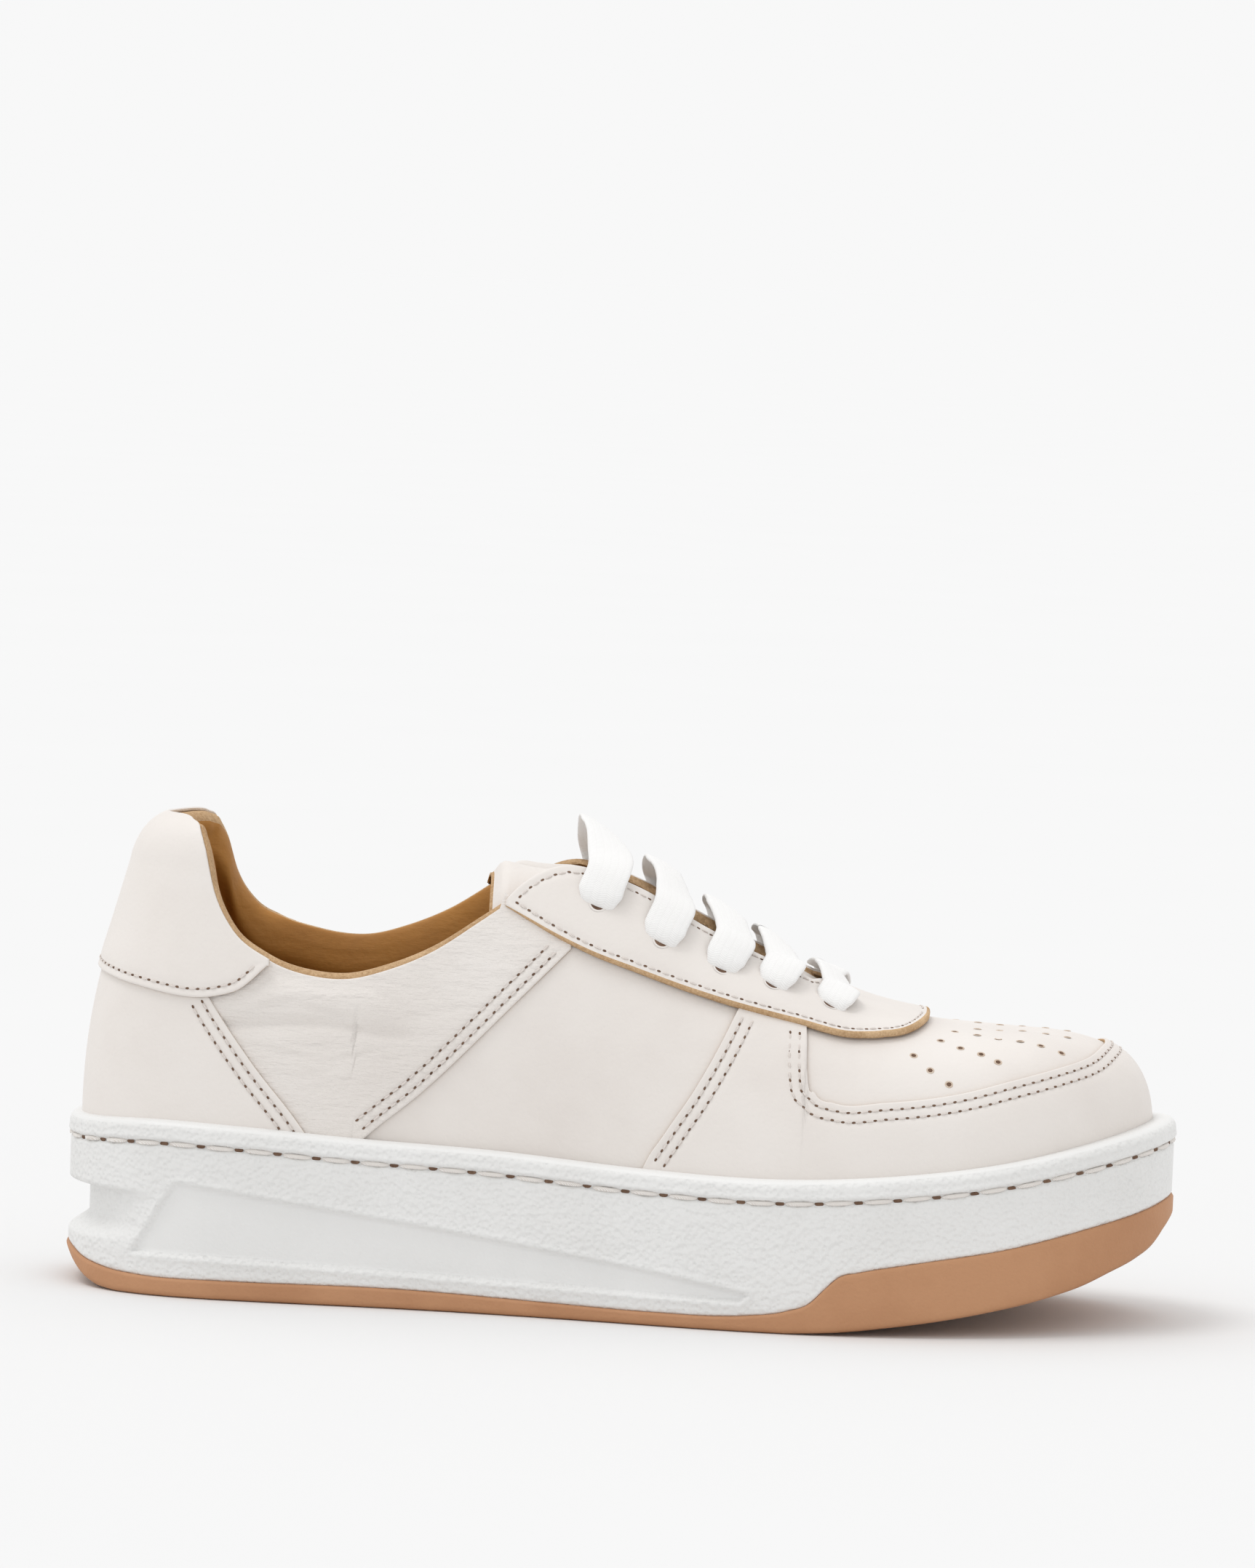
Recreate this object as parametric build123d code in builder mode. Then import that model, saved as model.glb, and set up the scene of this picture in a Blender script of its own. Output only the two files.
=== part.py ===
"""Low-top court shoe for the right foot, in millimetres.

The toe points to +X, the ground is Z = 0 and the outer (lateral) side of the foot is on -Y. The upper is a
stack of thin leather pieces that all follow one surface. A place on that surface is given by how far along
the base edge it lies and how far up towards the ridge, from 0 at the base edge to 1 at the ridge.
"""

import os

import numpy as np
from build123d import *

os.makedirs("parts", exist_ok=True)

# Driving dimensions
SOLE_OUTLINE = [
    (-140, 0), (-134.5, -20), (-118, -33.5), (-95, -38), (-50, -39.5), (0, -46), (42, -52),
    (80, -48.5), (110, -37), (130.5, -19), (140, 4), (134, 24), (118, 38.5), (90, 48.5),
    (55, 52), (10, 43.5), (-35, 36.5), (-70, 36.5), (-95, 38), (-118, 33.5), (-134.5, 20),
]
RIM = [(-141, 42.5), (-115, 44.2), (-64, 42), (-10, 39.6), (40, 38), (80, 40.8), (110, 45.3), (141, 51.9)]
RIDGE = [
    (-98, 135), (-60, 131), (-30, 125), (-10, 118.5), (2, 112), (18.6, 100.8), (31.5, 92.3),
    (45, 84.3), (57, 78.2), (66, 75.4), (75, 73.7), (95, 72.4),
]
HEEL_LEAN = [
    (20, 1.004), (50, 1), (66, 0.965), (80, 0.897), (92, 0.803), (105, 0.7), (118, 0.635), (136, 0.6),
]
TREAD = [
    (-142, 8.9), (-137, 8), (-130.6, 5.4), (-124, 1.8), (-119, 0.5), (-114, 0), (45, 0), (58, 0.8), (68, 2),
    (81.5, 3.9), (95, 6.3), (108, 9.2), (118, 12.2), (124, 14.8), (131, 17.9), (135, 20.5), (138, 24), (142, 29),
]
FLOOR = [(-142, 11), (-60, 8), (20, 9), (38, 9.8), (50, 14), (57, 17), (74, 21), (82, 22.6)]
FLOOR_FRONT = 80.0
GUM_TOP = [
    (-141.5, 9.9), (-127, 7), (-97, 4.8), (-30, 4.4), (30, 3.9), (46, 6), (57, 14), (74, 18.1), (120, 26.9),
    (141.5, 32.6),
]
HEEL_CENTRE = -98.0  # the upper's walls fan out round these two places on the centre line
TOE_CENTRE = 95.0
WALL_INSET = 5.7  # from the sole's outline to the upper's base edge
TOE_INSET = 1.2  # extra at the toe
BASE_DROP = 13.0  # from the rim down to the upper's base edge
LEATHER = 1.0
LAYER = 1.5  # from one leather layer to the next
RIM_WALL = 2.2
CUP_WALL = 9.0
SHELF_DROP = 5.0  # from the upper's base edge down to the shelf that carries the insole board
TURN_IN = -0.04  # how far below the base edge the leather runs
GAP = 0.1
STITCH_DROP, THREAD = 5.7, 0.6
HEEL_NOTCH = [(-145, 26), (-139, 25.5), (-135.5, 20), (-135.5, 16.5), (-138.5, 13), (-145, 12.5)]
BOARD, LINER = 2.0, 4.0
FOOTBED_INSET = 12.0
LINING = 1.0
EYELET_RADIUS = 2.6
LACE_RADIUS = 1.9
LACE_WIDTH = 9.0
LACE_THICKNESS = 1.4
LACE_END = 0.04  # how far a bar runs past its eyelets, as a share of the way up the wall
LACE_CENTRES = (-2.6, -2.4, -1.4, 0.3, 3.4)  # of each bar above the ridge, from the rear
LACE_UNDER = (-4.9, -3.8)
LACE_TAIL_REAR, LACE_TAIL_FRONT = -24.0, 24.0
LANE = 0.03  # half the width of a lace run below the eyestay, as a share of the way up the wall
SEAM, SEAM_GAP, SEAM_SHARE = 0.35, 0.3, 0.007
EYELETS = [(-7, 0.72), (9, 0.695), (24, 0.695), (36.5, 0.71), (51, 0.72)]
TONGUE_REAR, TONGUE_FRONT = -33, 54
TONGUE_SAG = 4.5
VAMP_REAR = 50
LATERAL, MEDIAL = -1, 1


# The upper's surface
def ease(x, low, high):
    t = np.clip((x - low) / (high - low), 0, 1)
    return t * t * (3 - 2 * t)


def smooth(x, points):
    """A smooth curve through points, read at x."""
    px, pv = np.array(points, float).T
    step = np.diff(px)
    slope = np.diff(pv) / step
    inner = (slope[1:] * step[:-1] + slope[:-1] * step[1:]) / (step[1:] + step[:-1])
    m = np.concatenate([slope[:1], inner, slope[-1:]])
    x = np.clip(x, px[0], px[-1])
    i = np.clip(np.searchsorted(px, x, side="right") - 1, 0, len(px) - 2)
    h = px[i + 1] - px[i]
    u = (x - px[i]) / h
    start = (2 * u**3 - 3 * u**2 + 1) * pv[i] + (u**3 - 2 * u**2 + u) * h * m[i]
    return start + (3 * u**2 - 2 * u**3) * pv[i + 1] + (u**3 - u**2) * h * m[i + 1]


def soft_minimum(a, b, width):
    return -width * np.log(np.exp(-a / width) + np.exp(-b / width))


with BuildLine() as outline_line:
    Spline(*SOLE_OUTLINE, periodic=True)
OUTLINE = np.array([tuple(outline_line.line @ t)[:2] for t in np.linspace(0, 1, 600)])
AHEAD = np.gradient(OUTLINE, axis=0)
AHEAD[0] = AHEAD[-1] = OUTLINE[1] - OUTLINE[-2]
AHEAD /= np.linalg.norm(AHEAD, axis=1, keepdims=True)
INWARD = np.stack([-AHEAD[:, 1], AHEAD[:, 0]], axis=1)
BASE = OUTLINE + INWARD * (WALL_INSET + TOE_INSET * ease(OUTLINE[:, 0], 60, 140))[:, None]
ALONG = np.concatenate([[0], np.cumsum(np.linalg.norm(np.diff(BASE, axis=0), axis=1))])
AROUND = ALONG[-1]
TOE = ALONG[np.argmax(BASE[:, 0])]


def along(side, x):
    """Distance along the base edge, from the heel's back by the lateral side, to the place at x."""
    near = ALONG <= TOE
    if side == LATERAL:
        return float(np.interp(x, BASE[near, 0], ALONG[near]))
    return float(np.interp(x, BASE[~near, 0][::-1], ALONG[~near][::-1]))


def wall(c, zeta):
    """Point of the surface at c along the base edge, and zeta of the height up to the ridge."""
    c = np.mod(c, AROUND)
    bx = np.interp(c, ALONG, BASE[:, 0])
    by = np.interp(c, ALONG, BASE[:, 1])
    sx = -soft_minimum(-soft_minimum(bx, TOE_CENTRE, 7), -HEEL_CENTRE, 4)
    sy = 4 * ease(sx, -20, 90)
    low = smooth(bx, RIM) - BASE_DROP + 1.5 * ease(bx, 90, 135)
    z = low + zeta * (smooth(sx, RIDGE) - low)
    arch = (1 - np.clip(zeta, 0, 1) ** (2.44 + ease(bx, 20, 120))) ** (1 / (2.2 + 1.2 * ease(bx, 20, 120)))
    heel = 1 - ease(bx, -95, -45)
    f = (1 - heel) * arch + heel * smooth(z, HEEL_LEAN)
    return np.stack([sx + (bx - sx) * f, sy + (by - sy) * f, z], axis=-1)


STEPS = 1 - (1 - np.linspace(0, 1, 121)) ** 1.6


def height_share(c, h):
    """The share of the height at which h of the way up the wall, measured along it, lies."""
    up = wall(np.full(len(STEPS), c), STEPS)
    run = np.concatenate([[0], np.cumsum(np.linalg.norm(np.diff(up, axis=0), axis=1))])
    if h < 0:
        return h * run[-1] / (up[-1, 2] - up[0, 2])
    return float(np.interp(h * run[-1], run, STEPS))


def place(c, h, out):
    """Point at c along and h up the wall, moved out of the surface by out."""
    zeta = height_share(c, h)
    a, b = 0.5, 0.003
    top = min(zeta + b, 0.9999)
    ahead = wall(c + a, zeta) - wall(c - a, zeta)
    up = wall(c, top) - wall(c, top - 2 * b)
    normal = np.cross(ahead, up)
    point = wall(c, zeta) + normal / np.linalg.norm(normal) * out
    return tuple(float(x) for x in point)


def leather(inner, outer):
    """A thin solid between two grids of points, with flat triangular facets."""
    rows, columns = len(inner), len(inner[0])
    facets = []

    def tile(a, b, c, d):
        facets.append(Face(Wire.make_polygon([a, b, c])))
        facets.append(Face(Wire.make_polygon([a, c, d])))

    for i in range(rows - 1):
        for j in range(columns - 1):
            tile(outer[i][j], outer[i + 1][j], outer[i + 1][j + 1], outer[i][j + 1])
            tile(inner[i][j], inner[i][j + 1], inner[i + 1][j + 1], inner[i + 1][j])
    for j in range(columns - 1):
        tile(outer[0][j], outer[0][j + 1], inner[0][j + 1], inner[0][j])
        tile(outer[-1][j + 1], outer[-1][j], inner[-1][j], inner[-1][j + 1])
    for i in range(rows - 1):
        tile(outer[i][0], inner[i][0], inner[i + 1][0], outer[i + 1][0])
        tile(outer[i][-1], outer[i + 1][-1], inner[i + 1][-1], inner[i][-1])
    return Solid(Shell(facets))


def between(grid, inner, outer):
    """The solid over a grid of (c, h) places, between two distances from the surface."""
    inside = [[place(c, h, inner) for c, h in row] for row in grid]
    outside = [[place(c, h, outer) for c, h in row] for row in grid]
    return leather(inside, outside)


def skin(cs, low, high, inner, outer, rows=5):
    """A layer round the wall at the places cs, from low(c) up to high(c)."""
    ends = [(low(c), high(c)) for c in cs]
    grid = [[(c, b + t * (a - b)) for c, (a, b) in zip(cs, ends)] for t in np.linspace(0, 1, rows)]
    return between(grid, inner, outer)


def over(xs, reach, inner, outer, sag, columns=15):
    """A layer over the ridge at the places xs, down to h = reach(x) on both sides, sagging in the middle."""
    layers = []
    for out in (inner, outer):
        rows = []
        for x in xs:
            row = []
            for v in np.linspace(-1, 1, columns):
                drop = sag * (1 - float(ease(abs(v), 0.1, 0.85)))
                row.append(place(along(side_of(v), x), 1 - abs(v) * (1 - reach(x)), out - drop))
            rows.append(row)
        layers.append(rows)
    return leather(*layers)


def dome(x_rear, reach, inner, outer, columns=13):
    """A layer over the toes, from x_rear round to the tip, down to h = reach(c)."""
    x_fan = 80
    fan_start, fan_end = along(LATERAL, x_fan), along(MEDIAL, x_fan)
    across = np.linspace(-1, 1, columns)
    grid = []
    for x in np.linspace(x_rear, x_fan, 5)[:-1]:
        places = [along(side_of(v), x) for v in across]
        grid.append([(c, 1 - abs(v) * (1 - reach(c))) for c, v in zip(places, across)])
    for u in np.linspace(0, 1, 9):
        row = []
        for v in across:
            forward = u * np.sqrt(1 - v * v / 2)
            sideways = v * np.sqrt(1 - u * u / 2)
            turn = np.arctan2(sideways, forward + 1e-9) / (np.pi / 2)
            c = TOE + turn * ((fan_end - TOE) if turn > 0 else (TOE - fan_start))
            row.append((c, 1 - np.hypot(forward, sideways) * (1 - reach(c))))
        grid.append(row)
    return between(grid, inner, outer)


def side_of(v):
    return LATERAL if v < 0 else MEDIAL


def span(side, x_rear, x_front, count):
    """Places along one side between two x."""
    ends = sorted([along(side, x_rear), along(side, x_front)])
    return np.linspace(*ends, count)


def round_toe(x, count):
    """Places from x on the lateral side round the toe to x on the medial side."""
    return np.linspace(along(LATERAL, x), along(MEDIAL, x), count)


def round_heel(x, count):
    """Places from x on the medial side round the heel to x on the lateral side."""
    return np.linspace(along(MEDIAL, x) - AROUND, along(LATERAL, x), count)


def base_x(c):
    return float(np.interp(c % AROUND, ALONG, BASE[:, 0]))


def is_medial(c):
    return c < 0 or c > TOE


def up_to(height):
    """A function of c that gives how far up the wall the height z = height(x) lies."""

    def find(c):
        levels = wall(np.full(len(STEPS), c), STEPS)
        run = np.concatenate([[0], np.cumsum(np.linalg.norm(np.diff(levels, axis=0), axis=1))])
        return float(np.interp(height(base_x(c), is_medial(c)), levels[:, 2], run)) / run[-1]

    return find


def through(points):
    """A function of c that gives h by a smooth curve through (x, h) points."""
    return lambda c: float(smooth(base_x(c), points))


def always(h):
    return lambda c: h


# Edges of the leather pieces, shared by both sides
def collar_height(x, medial):
    edge = [
        (-135, 116), (-113, 115), (-108, 111.5), (-104, 102), (-98, 93), (-88, 86), (-76, 82.5),
        (-68, 82.3), (-58, 85), (-47, 90), (-36, 97.5), (-29, 102.5),
    ]
    return float(smooth(x, edge)) + (5 * float(ease(x, -110, -80)) if medial else 0)


def counter_height(x, medial):
    return float(smooth(x, [(-135, 82), (-106, 80), (-103, 75.5), (-91, 59.5), (-77, 42.6)]))


def tab_height(x, medial):
    return float(smooth(x, [(-135, 79), (-122, 76.5), (-100, 75.4), (-95, 77), (-88, 83)]))


def front_seam_height(x, medial):
    """The slanting edge where the collar panel lies over the side panel."""
    return float(smooth(x, [(-62, 42), (-49, 53.2), (-25, 77.8), (-12, 91.4)]))


def toe_seam_height(x, medial):
    """The slanting edge where the toe overlay lies over the side panel."""
    return float(smooth(x, [(8, 38.6), (13, 47.2), (20, 58.4), (26, 70), (30, 79)]))


bottom = always(TURN_IN)
collar = up_to(collar_height)
counter_top = up_to(counter_height)
tab_bottom = up_to(tab_height)
front_seam = up_to(front_seam_height)
toe_seam = up_to(toe_seam_height)
THROAT = [
    (-30, 0.665), (-26, 0.712), (-20, 0.76), (-15, 0.785), (-9, 0.795), (2, 0.8), (31, 0.806), (49, 0.83),
]
EYESTAY_LOW = [
    (-30, 0.655), (-24, 0.637), (-15, 0.606), (-8, 0.591), (3, 0.584), (24, 0.586), (43, 0.597), (60, 0.608),
    (69, 0.646), (75, 0.74), (78, 0.9),
]
throat = through(THROAT)
eyestay_bottom = through(EYESTAY_LOW)
overlay_top = through(
    [(30, 0.62), (43, 0.6), (48, 0.44), (54, 0.374), (67, 0.383), (87, 0.424), (109, 0.506), (133.2, 0.58)]
)


# The sole
def plan(inset):
    """Corners of the sole's outline, moved in by inset."""
    return [tuple(p) for p in (OUTLINE + INWARD * inset)[:-1:8]]


def edge(height, x_rear=-142, x_front=142, count=20):
    """An edge of the sole in the side view."""
    return [(x, float(height(x))) for x in np.linspace(x_rear, x_front, count)]


def slab(inset, lower, upper):
    """The sole's plan, moved in by inset, between two edges of the side view."""
    with BuildPart() as made:
        with BuildSketch():
            with BuildLine():
                Polyline(*plan(inset), close=True)
            make_face()
        extrude(amount=90)
        with BuildSketch(Plane.XZ):
            with BuildLine():
                Polyline(*lower, *upper[::-1], close=True)
            make_face()
        extrude(amount=70, both=True, mode=Mode.INTERSECT)
    return made.part


def gum_top(x):
    return smooth(x, GUM_TOP)


def shelf(x):
    """Height of the ledge inside the cup that carries the insole board."""
    return smooth(x, RIM) - BASE_DROP + 1.5 * ease(x, 90, 135) - SHELF_DROP


def tread(x):
    return smooth(x, TREAD)


RIM_EDGE = edge(lambda x: smooth(x, RIM))
ABOVE = [(-142, 70), (142, 70)]

with BuildPart() as cupsole:
    add(slab(0, edge(gum_top), RIM_EDGE))
    add(slab(RIM_WALL, edge(shelf), ABOVE), mode=Mode.SUBTRACT)
    floor = lambda x: smooth(x, FLOOR)
    above_floor = [(-142, 70), (FLOOR_FRONT, 70)]
    add(slab(CUP_WALL, edge(floor, -142, FLOOR_FRONT), above_floor), mode=Mode.SUBTRACT)
    with BuildSketch(Plane.XZ):
        with BuildLine():
            Polyline(*HEEL_NOTCH, close=True)
        make_face()
    extrude(amount=70, both=True, mode=Mode.SUBTRACT)
cupsole.part.label = "cupsole"

with BuildPart() as gum_outsole:
    add(slab(0, TREAD, edge(gum_top)))
gum_outsole.part.label = "gum_outsole"

with BuildPart() as sole_stitching:
    seam = lambda lift: edge(lambda x: smooth(x, RIM) - STITCH_DROP + lift)
    add(slab(-GAP - THREAD, seam(-THREAD / 2), seam(THREAD / 2)))
    add(slab(-GAP, [(-142, 0), (142, 0)], ABOVE), mode=Mode.SUBTRACT)
sole_stitching.part.label = "sole_stitching"

with BuildPart() as midsole_filler:
    low = edge(lambda x: smooth(x, FLOOR) + GAP, -142, FLOOR_FRONT - GAP)
    add(slab(CUP_WALL + GAP, low, edge(lambda x: shelf(x) - GAP, -142, FLOOR_FRONT - GAP)))
midsole_filler.part.label = "midsole_filler"

with BuildPart() as insole_board:
    add(slab(FOOTBED_INSET, edge(lambda x: shelf(x) + GAP), edge(lambda x: shelf(x) + BOARD)))
insole_board.part.label = "insole_board"

with BuildPart() as sock_liner:
    low = edge(lambda x: shelf(x) + BOARD + GAP)
    add(slab(FOOTBED_INSET, low, edge(lambda x: shelf(x) + BOARD + LINER)))
sock_liner.part.label = "sock_liner"

# The upper: the outer face of leather level 0 lies on the surface, each further level one LAYER out
LEVEL = [(n * LAYER - LEATHER, n * LAYER) for n in range(4)]
BACKING = (-LAYER - LEATHER, -LAYER)
LINED = (-2 * LAYER - LINING - GAP, -2 * LAYER - GAP)
pieces = [cupsole, gum_outsole, sole_stitching, midsole_filler, insole_board, sock_liner]


def eyelet(side, x, h, radius, low, high):
    """A round bar along the surface's normal at one eyelet."""
    foot = Vector(*place(along(side, x), h, low))
    head = Vector(*place(along(side, x), h, high))
    with BuildPart() as bar:
        with BuildSketch(Plane(origin=foot, z_dir=head - foot)):
            Circle(radius)
        extrude(amount=(head - foot).length)
    return bar.part


eyelet_holes = [eyelet(side, x, h, EYELET_RADIUS, -6, 8) for side in (LATERAL, MEDIAL) for x, h in EYELETS]
front_holes = [eyelet_holes[4], eyelet_holes[9]]


def seam(cs, edge_of, inset, level):
    """A raised thread along an edge of a piece of leather, inset from it by a share of the wall."""
    inner, outer = LEVEL[level][1] + SEAM_GAP, LEVEL[level][1] + SEAM_GAP + SEAM
    low = lambda c: edge_of(c) + inset
    return skin(cs, low, lambda c: low(c) + SEAM_SHARE, inner, outer, rows=2)


with BuildPart() as vamp:
    add(dome(VAMP_REAR, lambda c: overlay_top(c) - 0.08, *LEVEL[0]))
    for hole in front_holes:
        add(hole, mode=Mode.SUBTRACT)
vamp.part.label = "vamp"

overlay_edge = lambda c: toe_seam(c) if base_x(c) < 30 else overlay_top(c)
with BuildPart() as toe_overlay:
    add(skin(round_toe(9, 61), bottom, overlay_edge, *LEVEL[1]))
toe_overlay.part.label = "toe_overlay"

with BuildPart() as toe_overlay_stitching:
    add(seam(round_toe(44, 53), overlay_top, -0.045, 1))
toe_overlay_stitching.part.label = "toe_overlay_stitching"

with BuildPart() as heel_counter_panel:
    add(skin(round_heel(-77, 31), bottom, counter_top, *LEVEL[2]))
heel_counter_panel.part.label = "heel_counter_panel"

with BuildPart() as heel_tab:
    add(skin(round_heel(-89, 29), tab_bottom, collar, *LEVEL[3]))
heel_tab.part.label = "heel_tab"

with BuildPart() as heel_tab_stitching:
    add(seam(round_heel(-92, 29), tab_bottom, 0.025, 3))
heel_tab_stitching.part.label = "heel_tab_stitching"

with BuildPart() as heel_stiffener:
    stiffener_top = lambda c: min(counter_top(c), up_to(lambda x, medial: 66)(c)) - 0.02
    add(skin(round_heel(-104, 19), bottom, stiffener_top, LEVEL[0][0], LEVEL[1][1] - GAP))
heel_stiffener.part.label = "heel_stiffener"

with BuildPart() as toe_puff:
    add(skin(round_toe(75, 31), bottom, lambda c: overlay_top(c) - 0.03, *BACKING))
toe_puff.part.label = "toe_puff"

with BuildPart() as collar_foam:
    foam_low = up_to(lambda x, medial: 69 + 22 * float(ease(x, -60, -30)))
    add(skin(round_heel(-38, 41), foam_low, lambda c: collar(c) - 0.02, -LAYER - LEATHER, -GAP))
collar_foam.part.label = "collar_foam"

with BuildPart() as quarter_lining:
    lined_top = lambda c: collar(c) if base_x(c) < -30 else eyestay_bottom(c)
    add(skin(round_heel(49, 71), bottom, lined_top, *LINED, rows=7))
quarter_lining.part.label = "quarter_lining"

with BuildPart() as vamp_lining:
    add(dome(VAMP_REAR + 5, bottom, *LINED, columns=21))
vamp_lining.part.label = "vamp_lining"

for side, word in ((LATERAL, "lateral"), (MEDIAL, "medial")):
    with BuildPart() as side_panel:
        side_top = lambda c: front_seam(c) + 0.03 if base_x(c) < -12 else eyestay_bottom(c) + 0.03
        add(skin(span(side, -57, 33, 15), bottom, side_top, *LEVEL[0]))
    side_panel.part.label = f"side_panel_{word}"
    with BuildPart() as collar_panel:
        low = lambda c: front_seam(c) if base_x(c) > -62 else TURN_IN
        high = lambda c: collar(c) if base_x(c) < -30 else eyestay_bottom(c) + 0.02
        add(skin(span(side, -100, -13, 23), low, high, *LEVEL[1], rows=6))
    collar_panel.part.label = f"collar_panel_{word}"
    with BuildPart() as collar_panel_stitching:
        add(seam(span(side, -56, -17, 13), front_seam, 0.03, 1))
    collar_panel_stitching.part.label = f"collar_panel_stitching_{word}"
    with BuildPart() as heel_counter_stitching:
        add(seam(span(side, -103, -86, 9), counter_top, -0.05, 2))
    heel_counter_stitching.part.label = f"heel_counter_stitching_{word}"
    with BuildPart() as backer:
        add(skin(span(side, -26, 48, 13), lambda c: throat(c) - 0.13, throat, *BACKING))
        for x, h in EYELETS:
            add(eyelet(side, x, h, EYELET_RADIUS, -6, 8), mode=Mode.SUBTRACT)
    backer.part.label = f"eyestay_backer_{word}"
    pieces += [side_panel, collar_panel, collar_panel_stitching, heel_counter_stitching, backer]


# The eyestay: one U of leather, from the lateral side round in front of the throat to the medial side
def eyestay_column(t):
    """Inner and outer (x, h) of the lateral half of the U, t from 0 at its rear end to 1 on the ridge."""
    if t < 0.6:
        x = -29.5 + (46 + 29.5) * t / 0.6
        return (max(x, -26 + 0.5 * (x + 29.5)), float(smooth(x, THROAT))), (x, float(smooth(x, EYESTAY_LOW)))
    s = (t - 0.6) / 0.4
    inner = (46 + 4 * min(1, 2 * s), 0.828 + 0.172 * s)
    x = 46 + 31 * s
    rise = (1 - float(smooth(77, EYESTAY_LOW))) * float(ease(s, 0.7, 1))
    return inner, (x, float(smooth(x, EYESTAY_LOW)) + rise)


def eyestay_grid(rows=4, columns=23):
    grid = []
    for r in np.linspace(0, 1, rows):
        row = []
        for v in np.linspace(-1, 1, 2 * columns - 1):
            (xi, hi), (xo, ho) = eyestay_column(1 - abs(v))
            row.append((along(side_of(v), xi + r * (xo - xi)), hi + r * (ho - hi)))
        grid.append(row)
    return grid


with BuildPart() as eyestay:
    add(between(eyestay_grid(), *LEVEL[2]))
    for hole in eyelet_holes:
        add(hole, mode=Mode.SUBTRACT)
eyestay.part.label = "eyestay"

for side, word in ((LATERAL, "lateral"), (MEDIAL, "medial")):
    with BuildPart() as eyestay_stitching:
        add(seam(span(side, -22, 60, 17), eyestay_bottom, 0.03, 2))
    eyestay_stitching.part.label = f"eyestay_stitching_{word}"
    pieces.append(eyestay_stitching)

# The tongue
tongue_reach = lambda x: float(smooth(max(x, -29), THROAT)) - 0.1
TONGUE_STATIONS = np.linspace(TONGUE_REAR, TONGUE_FRONT, 13)
with BuildPart() as tongue_face:
    add(over(TONGUE_STATIONS, tongue_reach, -6.7, -5.7, TONGUE_SAG))
tongue_face.part.label = "tongue_face"

with BuildPart() as tongue_foam:
    add(over(TONGUE_STATIONS[:-1], tongue_reach, -9.6, -6.9, TONGUE_SAG))
tongue_foam.part.label = "tongue_foam"

with BuildPart() as tongue_lining:
    add(over(TONGUE_STATIONS, tongue_reach, -10.8, -9.8, TONGUE_SAG))
tongue_lining.part.label = "tongue_lining"


# The lace: five bars straight across, joined under the eyestay, with both ends tucked away beside the tongue
def lace_bar(x, h, centre):
    grid_low, grid_high = [], []
    for place_x in (x - LACE_WIDTH / 2, x + LACE_WIDTH / 2):
        low_row, high_row = [], []
        for v in np.linspace(-1, 1, 21):
            at = (along(side_of(v), place_x), 1 - abs(v) * (1 - h + LACE_END))
            rise = centre + (LEVEL[2][1] + 0.4 - centre) * float(ease(abs(v), 0.1, 0.55))
            low_row.append(place(*at, rise))
            high_row.append(place(*at, rise + LACE_THICKNESS))
        grid_low.append(low_row)
        grid_high.append(high_row)
    return leather(grid_low, grid_high)


def lace_run(side, x_rear, x_front, h_rear, h_front):
    """A stretch of lace under the eyestay, between two places along it."""
    grid = []
    for offset in (LANE, -LANE):
        ts = np.linspace(0, 1, 6)
        grid.append(
            [(along(side, x_rear + t * (x_front - x_rear)), h_rear + t * (h_front - h_rear) + offset)
             for t in ts]
        )
    return between(grid, *LACE_UNDER)


with BuildPart() as shoelace:
    for (x, h), centre in zip(EYELETS, LACE_CENTRES):
        add(lace_bar(x, h, centre))
    for side in (LATERAL, MEDIAL):
        for x, h in EYELETS:
            add(eyelet(side, x, h, LACE_RADIUS, LACE_UNDER[0] + 0.3, LEVEL[2][1] + 1))
    for n, side in enumerate((MEDIAL, LATERAL, MEDIAL, LATERAL)):
        (x_rear, h_rear), (x_front, h_front) = EYELETS[n], EYELETS[n + 1]
        add(lace_run(side, x_rear - 2.5, x_front + 2.5, h_rear, h_front))
    tails = ((LATERAL, EYELETS[0], LACE_TAIL_REAR), (MEDIAL, EYELETS[4], LACE_TAIL_FRONT))
    for side, (x, h), end_x in tails:
        add(lace_run(side, min(x + 2.5, end_x), max(x - 2.5, end_x), h, h) if end_x > x else
            lace_run(side, end_x, x + 2.5, h, h))
shoelace.part.label = "shoelace"

pieces += [
    vamp, toe_overlay, toe_overlay_stitching, heel_counter_panel, heel_tab, heel_tab_stitching,
    heel_stiffener, toe_puff, collar_foam, quarter_lining, vamp_lining, eyestay,
    tongue_face, tongue_foam, tongue_lining, shoelace,
]

for piece in pieces:
    export_step(piece.part, f"parts/{piece.part.label}.step")
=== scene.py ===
"""Looks of the court shoe, worked out in millimetres and written in metres.

x runs to the toe, y to the medial side, z up. A place on the upper is (c, h): c in mm round the base
edge of its wall, from the heel along the lateral side, and h from 0 at that edge to 1 at the top.
"""

import math

import bpy
import numpy as np
from mathutils import Matrix, Vector


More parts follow.
